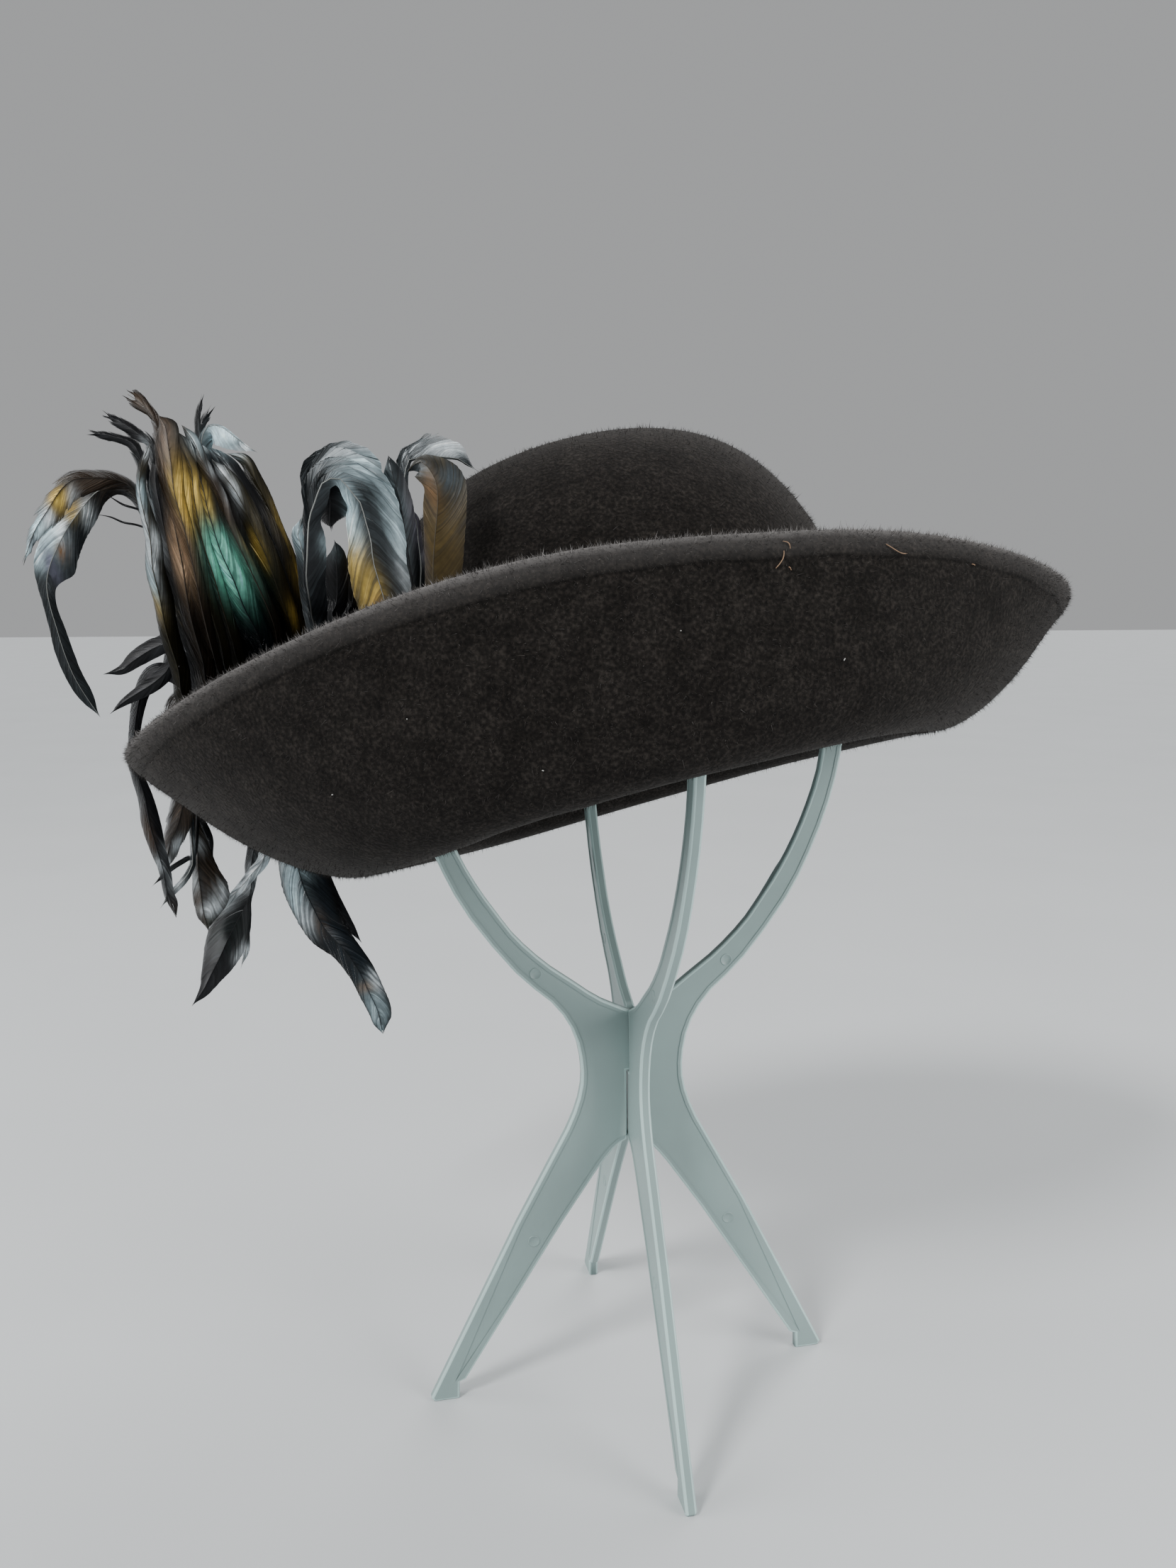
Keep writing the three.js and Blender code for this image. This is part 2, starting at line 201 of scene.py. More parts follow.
def felt_material(look):
    """Brown-black fur felt: a mottled nap, with a painted highlight where it wraps over the brim's edge
    and painted shade along the groove of the hem's stitching.
    """
    material, nodes, links = new_material("brown_black_felt")
    shader = nodes["Principled BSDF"]
    base = tuple(look.colour)
    speckle = object_noise(nodes, links, 900, 3)
    patch = object_noise(nodes, links, 110, 4)
    grain = colour_ramp(
        nodes, links, speckle,
        [(0.3, shade(base, 0.4)), (0.5, base), (0.72, shade(base, 2.6))],
    )
    mottle = colour_ramp(nodes, links, patch, [(0.34, (0.55, 0.54, 0.53)), (0.62, (1, 1, 1))])
    cloth = mixed(nodes, links, "MULTIPLY", 1.0, grain, mottle)
    edge = nodes.new("ShaderNodeAttribute")
    edge.attribute_name = "below_edge"
    depth = nodes.new("ShaderNodeMapRange")
    depth.inputs["From Max"].default_value = HEM_REACH
    links.new(edge.outputs["Fac"], depth.inputs["Value"])
    # Painted shade: the felt is darkened along the groove of the hem's stitching
    groove = colour_ramp(
        nodes, links, depth.outputs["Result"],
        [(0.66, (1, 1, 1)), (0.73, (0.55, 0.55, 0.55)), (0.8, (1, 1, 1))],
    )
    cloth = mixed(nodes, links, "MULTIPLY", 1.0, cloth, groove)
    # Painted highlight: along the brim's edge the felt turns towards the pale fuzz colour, as if light
    # caught the nap there
    painted_edge_light = colour_ramp(
        nodes, links, depth.outputs["Result"],
        [(0, (0.95, 0.95, 0.95)), (0.12, (0.6, 0.6, 0.6)), (0.28, (0.2, 0.2, 0.2)),
         (0.66, (0.05, 0.05, 0.05)), (0.74, (0, 0, 0))],
    )
    mix = nodes.new("ShaderNodeMix")
    mix.data_type = "RGBA"
    links.new(painted_edge_light, mix.inputs["Factor"])
    links.new(cloth, mix.inputs["A"])
    mix.inputs["B"].default_value = (*shade(tuple(look.fuzz_colour), 0.36), 1)
    links.new(mix.outputs["Result"], shader.inputs["Base Color"])
    shader.inputs["Roughness"].default_value = 0.95
    shader.inputs["Specular IOR Level"].default_value = 0.12
    shader.inputs["Sheen Weight"].default_value = look.sheen
    shader.inputs["Sheen Roughness"].default_value = 0.45
    shader.inputs["Sheen Tint"].default_value = (*look.fuzz_colour, 1)
    bumped(nodes, links, shader, speckle, 0.5, 0.6 * MM)
    return material


def nap_material():
    """The loose fibre tips that stand out of the felt, each in the tone it was given, with a painted
    highlight along the brim's edge.
    """
    material, nodes, links = new_material("felt_nap")
    shader = nodes["Principled BSDF"]
    tone = nodes.new("ShaderNodeAttribute")
    tone.attribute_name = "sheen_colour"
    links.new(tone.outputs["Color"], shader.inputs["Base Color"])
    shader.inputs["Roughness"].default_value = 0.85
    shader.inputs["Specular IOR Level"].default_value = 0.15
    return material


def feather_material(name, roughness, metallic):
    """Feather barbs: the colour, painted sheen and shade included, lies in the vane's attribute, with
    fine streaks over it.
    """
    material, nodes, links = new_material(name)
    shader = nodes["Principled BSDF"]
    sheen = nodes.new("ShaderNodeAttribute")
    sheen.attribute_name = "sheen_colour"
    streak = object_noise(nodes, links, 500, 3)
    tone = colour_ramp(nodes, links, streak, [(0.3, (0.68, 0.68, 0.68)), (0.65, (1, 1, 1))])
    colour = mixed(nodes, links, "MULTIPLY", 0.8, sheen.outputs["Color"], tone)
    links.new(colour, shader.inputs["Base Color"])
    shader.inputs["Roughness"].default_value = roughness
    shader.inputs["Metallic"].default_value = metallic
    shader.inputs["Specular IOR Level"].default_value = 0.35
    bumped(nodes, links, shader, streak, 0.15, 0.2 * MM)
    return material


def plastic_material(name, look, paleness):
    """Satin moulded plastic with a faint flow mottle; a paleness above one paints a highlight."""
    material, nodes, links = new_material(name)
    shader = nodes["Principled BSDF"]
    base = shade(tuple(look.colour), paleness)
    flow = object_noise(nodes, links, 18, 3)
    grain = object_noise(nodes, links, 900, 2)
    colour = colour_ramp(nodes, links, flow, [(0.3, shade(base, 0.9)), (0.7, shade(base, 1.08))])
    links.new(colour, shader.inputs["Base Color"])
    rough = nodes.new("ShaderNodeMapRange")
    rough.inputs["To Min"].default_value = look.roughness - 0.06
    rough.inputs["To Max"].default_value = look.roughness + 0.08
    links.new(grain, rough.inputs["Value"])
    links.new(rough.outputs["Result"], shader.inputs["Roughness"])
    shader.inputs["Specular IOR Level"].default_value = 0.5
    shader.inputs["Subsurface Weight"].default_value = 0.12
    shader.inputs["Subsurface Radius"].default_value = (1.2 * MM, 1.4 * MM, 1.4 * MM)
    bumped(nodes, links, shader, flow, 0.12, 0.5 * MM)
    return material


def plain_material(name, colour, roughness):
    material, nodes, links = new_material(name)
    shader = nodes["Principled BSDF"]
    tone = object_noise(nodes, links, 6, 2)
    ramp = colour_ramp(nodes, links, tone, [(0.3, shade(colour, 0.97)), (0.7, colour)])
    links.new(ramp, shader.inputs["Base Color"])
    shader.inputs["Roughness"].default_value = roughness
    return material


# Mesh helpers


def show(name, mesh, material):
    """A finished piece: its place is in its mesh and it rides on the only body."""
    piece = bpy.data.objects.new(name, mesh)
    bpy.context.scene.collection.objects.link(piece)
    mesh.materials.append(material)
    mesh.shade_smooth()
    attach(piece, BODY)
    return piece


def joined_mesh(name, points, faces, colours=None):
    """Many small shapes as one mesh, from arrays of points and face corners."""
    mesh = bpy.data.meshes.new(name)
    mesh.from_pydata(points.tolist(), [], faces.tolist())
    if colours is not None:
        rgba = np.ones((len(points), 4), np.float32)
        rgba[:, :3] = colours
        sheen = mesh.attributes.new("sheen_colour", "FLOAT_COLOR", "POINT")
        sheen.data.foreach_set("color", rgba.ravel())
    mesh.validate()
    mesh.update()
    return mesh


def in_row_frame(points):
    """Points of the hat's frame, in millimetres, moved to the row frame in metres."""
    turn = np.array(HAT_FRAME.to_3x3())
    return points @ turn.T * MM + np.array(HAT_FRAME.translation)


def unit(rows):
    return rows / np.maximum(np.linalg.norm(rows, axis=-1, keepdims=True), 1e-9)


def modified(mesh, kind, **settings):
    """The mesh with one modifier worked into it."""
    carrier = bpy.data.objects.new("carrier", mesh)
    bpy.context.scene.collection.objects.link(carrier)
    modifier = carrier.modifiers.new("shape", kind)
    for name, value in settings.items():
        setattr(modifier, name, value)
    graph = bpy.context.evaluated_depsgraph_get()
    result = bpy.data.meshes.new_from_object(carrier.evaluated_get(graph))
    bpy.data.objects.remove(carrier)
    return result


def smoothed_solid(node, levels):
    """A node's solid, its triangles paired to quads and subdivided to a smooth surface."""
    work = bmesh.new()
    work.from_mesh(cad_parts[node].data)
    bmesh.ops.remove_doubles(work, verts=work.verts, dist=0.01 * MM)
    bmesh.ops.join_triangles(
        work, faces=work.faces,
        angle_face_threshold=math.radians(60), angle_shape_threshold=math.radians(70),
    )
    mesh = bpy.data.meshes.new(node + "_smooth")
    work.to_mesh(mesh)
    work.free()
    return modified(mesh, "SUBSURF", levels=levels, render_levels=levels)


# Felt

BRIM_LENGTH = 170.5 * MM
BRIM_WIDTH = 118 * MM
EDGE_SECTORS = 90


class HeadLine(NamedTuple):
    """The oval where crown and brim meet, in millimetres of the hat's frame."""

    x: float
    y: float
    z: float
    half_length: float
    half_width: float


HEAD_LINE = HeadLine(7.5, -1.6, 17.0, 89.2, 87.1)
ROLL_HALF_WIDE = 2.0
ROLL_HALF_HIGH = 1.7
ROLL_STEPS = 144
ROLL_SIDES = 10
HEM_DEPTHS = [0, 2.5, 7.6, 8.8, 10.5]
HEM_LIFTS = [0, 0.15, 0.3, -0.25, 0]
FUZZ_REACH = 3 * MM
NAP_ROOTED = 0.15 * MM
NAP_LEAN = 0.6
EDGE_CROWDING = 9
FIBRE_HALF_WIDE = (0.05, 0.1)

# How pale a fibre is anywhere, what the brim's edge adds as a painted highlight, and what chance adds
PALE_ANYWHERE = 0.05
PALE_AT_EDGE = 0.7
PALE_BY_CHANCE = 0.12


def store_depth(mesh, below):
    """Keep each point's depth below the brim's edge where the felt's material reads it."""
    layer = mesh.attributes.new("below_edge", "FLOAT", "POINT")
    layer.data.foreach_set("value", np.maximum(below, 0).astype(np.float32))


def edge_depth(mesh):
    """How far each point lies below the brim's edge in its own direction."""
    points = np.empty(len(mesh.vertices) * 3)
    mesh.vertices.foreach_get("co", points)
    turn = np.array(HAT_FRAME.to_3x3())
    points = (points.reshape(-1, 3) - np.array(HAT_FRAME.translation)) @ turn
    heading = np.arctan2(points[:, 1] / BRIM_WIDTH, points[:, 0] / BRIM_LENGTH)
    sector = ((heading / math.tau + 0.5) * EDGE_SECTORS).astype(int) % EDGE_SECTORS
    top = np.full(EDGE_SECTORS, -1.0)
    np.maximum.at(top, sector, points[:, 2])
    edge = np.concatenate([top[-1:], top, top[:1]])
    place = (heading / math.tau + 0.5) * EDGE_SECTORS + 0.5
    return np.interp(place, np.arange(EDGE_SECTORS + 2), edge) - points[:, 2]


def nap_mesh(name, felt_mesh, look, count, below, seed):
    """Short fibre tips rooted in the felt, leaning every way, palest along the edge as a painted
    highlight.
    """
    random = np.random.default_rng(seed)
    felt_mesh.calc_loop_triangles()
    points = np.empty(len(felt_mesh.vertices) * 3)
    felt_mesh.vertices.foreach_get("co", points)
    corners = np.empty(len(felt_mesh.loop_triangles) * 3, np.int32)
    felt_mesh.loop_triangles.foreach_get("vertices", corners)
    corners = corners.reshape(-1, 3)
    triangles = points.reshape(-1, 3)[corners]
    sides = np.cross(triangles[:, 1] - triangles[:, 0], triangles[:, 2] - triangles[:, 0])
    near = np.exp(-np.maximum(below[corners].mean(1), 0) / FUZZ_REACH)
    area = np.linalg.norm(sides, axis=1) * (1 + EDGE_CROWDING * near)
    pick = random.choice(len(area), count, p=area / area.sum())
    share = random.random((count, 2))
    share[share.sum(1) > 1] = 1 - share[share.sum(1) > 1]
    first, second, third = (triangles[pick, k] for k in range(3))
    root = first + (second - first) * share[:, :1] + (third - first) * share[:, 1:]
    normal = unit(sides[pick])
    lean = random.normal(0, 1, (count, 3))
    lean -= normal * (lean * normal).sum(1, keepdims=True)
    reach = look.nap_length * random.gamma(4, 0.25, (count, 1))
    tip = root + unit(normal + lean * NAP_LEAN) * reach
    half_wide = random.uniform(*FIBRE_HALF_WIDE, (count, 1)) * MM
    across = unit(np.cross(normal, lean)) * half_wide
    root = root - normal * NAP_ROOTED
    points = np.stack([root - across, root + across, tip], 1).reshape(-1, 3)
    # Painted highlight: near the brim's edge a fibre turns towards the pale fuzz colour
    pale = PALE_ANYWHERE + PALE_AT_EDGE * near[pick]
    pale = np.clip(pale + PALE_BY_CHANCE * random.random(count) ** 9, 0, 1)[:, None]
    tone = np.array(look.colour) * random.lognormal(0.2, 0.45, (count, 1))
    tone = tone * (1 - pale) + np.array(look.fuzz_colour) * pale * random.random((count, 1))
    return joined_mesh(name, points, np.arange(count * 3).reshape(-1, 3), tone.repeat(3, 0))


def raise_hem(mesh, below):
    """Thicken the hem along the brim's edge and sink the groove of its stitching under it."""
    points = np.empty(len(mesh.vertices) * 3)
    normals = np.empty(len(mesh.vertices) * 3)
    mesh.vertices.foreach_get("co", points)
    mesh.vertex_normals.foreach_get("vector", normals)
    lift = np.interp(below / MM, HEM_DEPTHS, HEM_LIFTS) * MM
    mesh.vertices.foreach_set("co", points + normals * lift.repeat(3))
    mesh.update()


def build_felt(node, piece_name, look, nap_count, seed):
    mesh = smoothed_solid(node, 2)
    below = np.ones(len(mesh.vertices))
    if node == "brim":
        below = edge_depth(mesh)
        raise_hem(mesh, below)
    store_depth(mesh, below)
    felt = show(piece_name, mesh, felt_material(look))
    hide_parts(node)
    nap = nap_mesh(node + "_nap", mesh, look, nap_count, below, seed)
    show(node + "_nap", nap, nap_material())


def headline_roll():
    """The fold where the brim is stitched to the crown: a rounded bead round the head line."""
    turn = np.arange(ROLL_STEPS)[:, None] * math.tau / ROLL_STEPS
    around = np.arange(ROLL_SIDES) * math.tau / ROLL_SIDES
    flat = ROLL_HALF_WIDE * np.cos(around)
    points = np.stack([
        HEAD_LINE.x + (HEAD_LINE.half_length + flat) * np.cos(turn),
        HEAD_LINE.y + (HEAD_LINE.half_width + flat) * np.sin(turn),
        HEAD_LINE.z + ROLL_HALF_HIGH * np.sin(around) + 0 * turn,
    ], -1).reshape(-1, 3)
    grid = np.arange(len(points)).reshape(ROLL_STEPS, ROLL_SIDES)
    ahead, beside = np.roll(grid, -1, 0), np.roll(grid, -1, 1)
    corner = np.roll(ahead, -1, 1)
    faces = np.stack([grid, ahead, corner, beside], -1).reshape(-1, 4)
    mesh = joined_mesh("headline_roll", in_row_frame(points), faces)
    store_depth(mesh, np.ones(len(points)))
    return mesh


# Feathers


class Feather(NamedTuple):
    """One feather in the hat's frame, in millimetres.

    Each row is a place on the shaft, from the root to the tip, then the vane's width left
    and right of it. lean is how far a strand runs along the shaft for each millimetre out,
    tip is how frayed the vane ends and turn is its roll in degrees at the root and the tip.
    """

    colour: str
    lean: float
    tip: float
    turn: tuple
    rows: list


FEATHER_COLOURS = {
    "black": (0.006, 0.0065, 0.008),
    "navy": (0.006, 0.010, 0.014),
    "brown": (0.026, 0.018, 0.012),
    "olive": (0.024, 0.020, 0.009),
    "slate": (0.020, 0.025, 0.028),
    "amber": (0.032, 0.024, 0.011),
    "horn": (0.20, 0.21, 0.20),
}

BINDING_HIGH = 26
SIDE_ROOT = (-120, 6, 28, 1.5, 1.5)
TIP_ROOT = [(-110, 4, 28, 1, 1), (-113, 2, 90, 1.2, 1.2)]
FRONT_BOW = (-2, -3, 4)
HIDDEN_NARROWING = 0.8
SIDE_LEAN = (-4, 4)
SIDE_SHARE = 0.6


def front_rows(root, picks):
    """A feather in front: its hidden stretch bows forwards from the binding to where it shows."""
    seen = shown(BUNCH_CROP, picks)
    x, y, z, left, right = seen[0]
    bow_x, bow_y, bow_z = FRONT_BOW
    halfway = (
        round((root + x) / 2 + bow_x),
        round(y / 2 + bow_y),
        round((BINDING_HIGH + z) / 2 + bow_z),
        round(left * HIDDEN_NARROWING, 1),
        round(right * HIDDEN_NARROWING, 1),
    )
    return [(root, 0, BINDING_HIGH, 2, 2), halfway] + seen


def side_rows(picks):
    """A thin feather beside the bunch: its hidden stretch leans outwards from the binding."""
    seen = shown(BUNCH_CROP, picks)
    x, y, z = seen[0][:3]
    halfway = (
        round((SIDE_ROOT[0] + x) / 2 + SIDE_LEAN[0]),
        round(y * SIDE_SHARE + SIDE_LEAN[1]),
        round((SIDE_ROOT[2] + z) / 2),
        *SIDE_ROOT[3:],
    )
    return [SIDE_ROOT, halfway] + seen


BUNCH = [
    Feather("olive", 4.3, 0.2, (-20, 0), front_rows(-118, [
        (880, 1680, -6, 35, 50), (830, 1500, -12, 38, 55), (775, 1300, -18, 35, 60),
        (735, 1130, -22, 38, 65), (705, 980, -25, 38, 60), (685, 830, -26, 28, 55),
        (665, 700, -26, 22, 45), (635, 580, -24, 20, 35), (650, 450, -20, 18, 30),
        (688, 345, -18, 8, 10)])),
    Feather("brown", 4.7, 0.5, (0, 10), front_rows(-118, [
        (1000, 1610, -8, 60, 60), (960, 1450, -14, 65, 60), (915, 1280, -19, 68, 60),
        (880, 1120, -24, 68, 62), (852, 968, -27, 68, 60), (828, 820, -29, 62, 55),
        (808, 680, -30, 55, 50), (785, 540, -30, 60, 50), (765, 400, -28, 62, 55),
        (745, 290, -25, 40, 50), (700, 200, -22, 22, 32), (640, 140, -19, 36, 39),
        (580, 95, -16, 46, 43)])),
    Feather("brown", 4.7, 0.1, (0, 0), front_rows(-118, [
        (1060, 1560, -10, 30, 30), (1010, 1380, -17, 35, 35), (955, 1180, -24, 40, 40),
        (905, 980, -29, 42, 40), (860, 778, -32, 50, 45), (820, 600, -33, 65, 50),
        (800, 450, -32, 80, 60), (785, 340, -29, 75, 60), (765, 260, -27, 45, 60),
        (735, 205, -25, 10, 12)])),
    Feather("olive", 5, 0.05, (5, 0), front_rows(-118, [
        (1090, 1540, -9, 48, 40), (1050, 1370, -15, 50, 42), (1000, 1190, -21, 52, 45),
        (950, 1020, -26, 50, 45), (910, 880, -29, 48, 42), (880, 740, -31, 46, 40),
        (862, 600, -32, 42, 36), (848, 470, -31, 38, 34), (822, 370, -29, 32, 30),
        (780, 280, -26, 20, 24), (735, 215, -24, 4, 6)])),
    Feather("olive", 5, 0.05, (-5, 5), front_rows(-112, [
        (1150, 1500, -8, 42, 42), (1110, 1340, -14, 44, 44), (1060, 1180, -20, 44, 44),
        (1010, 1020, -25, 44, 44), (965, 860, -28, 42, 42), (935, 708, -30, 40, 40),
        (915, 580, -31, 36, 36), (893, 470, -30, 32, 32), (858, 370, -28, 26, 28),
        (812, 285, -25, 18, 20), (770, 225, -23, 4, 5)])),
    Feather("navy", 4, 0.1, (0, 0), front_rows(-112, [
        (1270, 1440, -6, 80, 90), (1235, 1320, -12, 90, 100), (1175, 1180, -18, 95, 110),
        (1115, 1040, -23, 95, 112), (1055, 900, -27, 85, 105), (1012, 780, -29, 70, 85),
        (985, 670, -30, 55, 60), (955, 558, -29, 45, 48), (918, 450, -28, 36, 40),
        (875, 358, -26, 26, 34), (820, 280, -24, 5, 8)])),
    Feather("brown", 5.4, 0.1, (15, 10), front_rows(-106, [
        (1345, 1420, -8, 34, 34), (1320, 1270, -14, 36, 36), (1262, 1130, -20, 38, 36),
        (1200, 990, -25, 38, 36), (1135, 850, -29, 36, 34), (1085, 740, -31, 34, 32),
        (1045, 620, -32, 34, 30), (1005, 520, -31, 36, 30), (960, 430, -29, 40, 32),
        (905, 330, -26, 36, 30), (850, 258, -24, 8, 10)])),
    Feather("olive", 4.3, 0.1, (0, 10), front_rows(-106, [
        (1415, 1380, -6, 50, 50), (1385, 1230, -12, 52, 55), (1345, 1080, -17, 55, 58),
        (1295, 938, -21, 55, 60), (1240, 820, -24, 52, 60), (1180, 700, -26, 48, 58),
        (1120, 590, -26, 42, 52), (1062, 500, -25, 34, 44), (1010, 430, -23, 8, 10)])),
    Feather("black", 4.3, 0.1, (10, 10), front_rows(-106, [
        (1475, 1338, -5, 50, 50), (1435, 1190, -10, 52, 52), (1395, 1050, -15, 52, 52),
        (1345, 918, -19, 52, 52), (1290, 788, -22, 52, 52), (1228, 670, -24, 50, 50),
        (1160, 560, -24, 46, 46), (1095, 470, -23, 30, 34), (1040, 410, -21, 6, 8)])),
    Feather("olive", 4.3, 0.1, (20, 20), front_rows(-106, [
        (1520, 1310, -4, 50, 34), (1478, 1160, -9, 52, 36), (1435, 1030, -14, 54, 36),
        (1388, 900, -18, 56, 36), (1335, 770, -21, 58, 36), (1278, 640, -23, 58, 38),
        (1222, 520, -23, 52, 38), (1165, 430, -22, 36, 32), (1085, 395, -19, 6, 8)])),
    Feather("black", 3, 0.7, (0, 0), TIP_ROOT + shown(BUNCH_CROP, [
        (985, 560, -10, 18, 18), (950, 418, -12, 24, 22), (930, 300, -12, 20, 18),
        (936, 215, -12, 20, 17), (950, 125, -12, 13, 11)])),
    Feather("black", 3, 0.9, (0, 0), TIP_ROOT + shown(BUNCH_CROP, [
        (997, 560, -8, 18, 18), (960, 420, -10, 24, 22), (938, 310, -10, 22, 20),
        (958, 240, -10, 28, 25), (985, 185, -10, 22, 21)])),
    Feather("slate", 1.5, 0.3, (0, 0), TIP_ROOT + shown(BUNCH_CROP, [
        (1060, 800, -6, 20, 20), (1010, 598, -10, 25, 25), (965, 430, -13, 20, 40),
        (955, 335, -15, 14, 60), (990, 265, -17, 12, 75), (1055, 262, -19, 10, 95),
        (1120, 308, -20, 8, 75), (1175, 350, -20, 6, 38), (1225, 382, -20, 2, 6)])),
    Feather("black", 2.6, 0.9, (10, 0), side_rows([
        (760, 640, -12, 24, 24), (725, 480, -16, 30, 28), (690, 350, -18, 32, 28),
        (640, 300, -17, 34, 26), (580, 258, -15, 34, 24), (530, 228, -13, 33, 24),
        (475, 206, -12, 23, 17)])),
    Feather("black", 2.6, 0.9, (0, 0), side_rows([
        (720, 680, -8, 24, 24), (680, 520, -12, 30, 28), (640, 400, -14, 34, 26),
        (590, 345, -13, 34, 24), (530, 318, -12, 28, 20), (465, 300, -11, 27, 20),
        (405, 289, -10, 20, 14)])),
    Feather("brown", 2, 0.8, (0, 0), side_rows([
        (720, 900, 2, 20, 20), (680, 740, 0, 22, 22), (640, 630, -4, 26, 24),
        (580, 560, -8, 38, 30), (490, 525, -11, 55, 42), (402, 515, -13, 75, 48),
        (310, 525, -14, 92, 52), (235, 590, -14, 88, 56), (172, 685, -13, 70, 50),
        (112, 793, -12, 48, 36), (58, 915, -11, 8, 8)])),
    Feather("slate", 2.2, 0.1, (0, 20), side_rows([
        (730, 960, 4, 20, 20), (690, 780, 3, 22, 22), (640, 650, 1, 26, 24), (560, 575, -1, 40, 34),
        (480, 560, -2, 54, 42), (405, 600, -3, 66, 50), (335, 685, -4, 89, 60),
        (270, 778, -4, 98, 76), (215, 880, -3, 108, 92), (180, 975, -2, 118, 78),
        (165, 1070, -1, 50, 46), (180, 1170, 0, 32, 32), (218, 1290, 1, 38, 36),
        (250, 1398, 2, 44, 42), (303, 1520, 3, 42, 40), (358, 1625, 4, 38, 34), (442, 1734, 5, 3, 3)])),
    Feather("black", 1, 0, (0, 0), side_rows([
        (760, 800, 2, 5, 5), (650, 694, 0, 5, 5), (560, 650, -1, 5, 5), (500, 628, -2, 4, 4),
        (462, 602, -3, 2, 2)])),
    Feather("black", 1, 0, (0, 0), side_rows([
        (780, 860, 3, 5, 5), (652, 773, 1, 5, 5), (560, 742, 0, 5, 5), (480, 716, -1, 4, 4),
        (414, 704, -2, 2, 2)])),
    Feather("black", 2, 0.1, (0, 0), side_rows([
        (830, 1280, 8, 36, 36), (765, 1350, 10, 46, 50), (690, 1395, 12, 48, 52),
        (615, 1445, 13, 40, 46), (540, 1495, 14, 26, 24), (456, 1521, 14, 2, 2)])),
    Feather("black", 2, 0.1, (0, 0), side_rows([
        (840, 1420, 10, 36, 36), (780, 1500, 12, 42, 42), (710, 1555, 14, 42, 40),
        (635, 1610, 15, 34, 30), (560, 1662, 16, 20, 18), (490, 1716, 16, 2, 2)])),
]
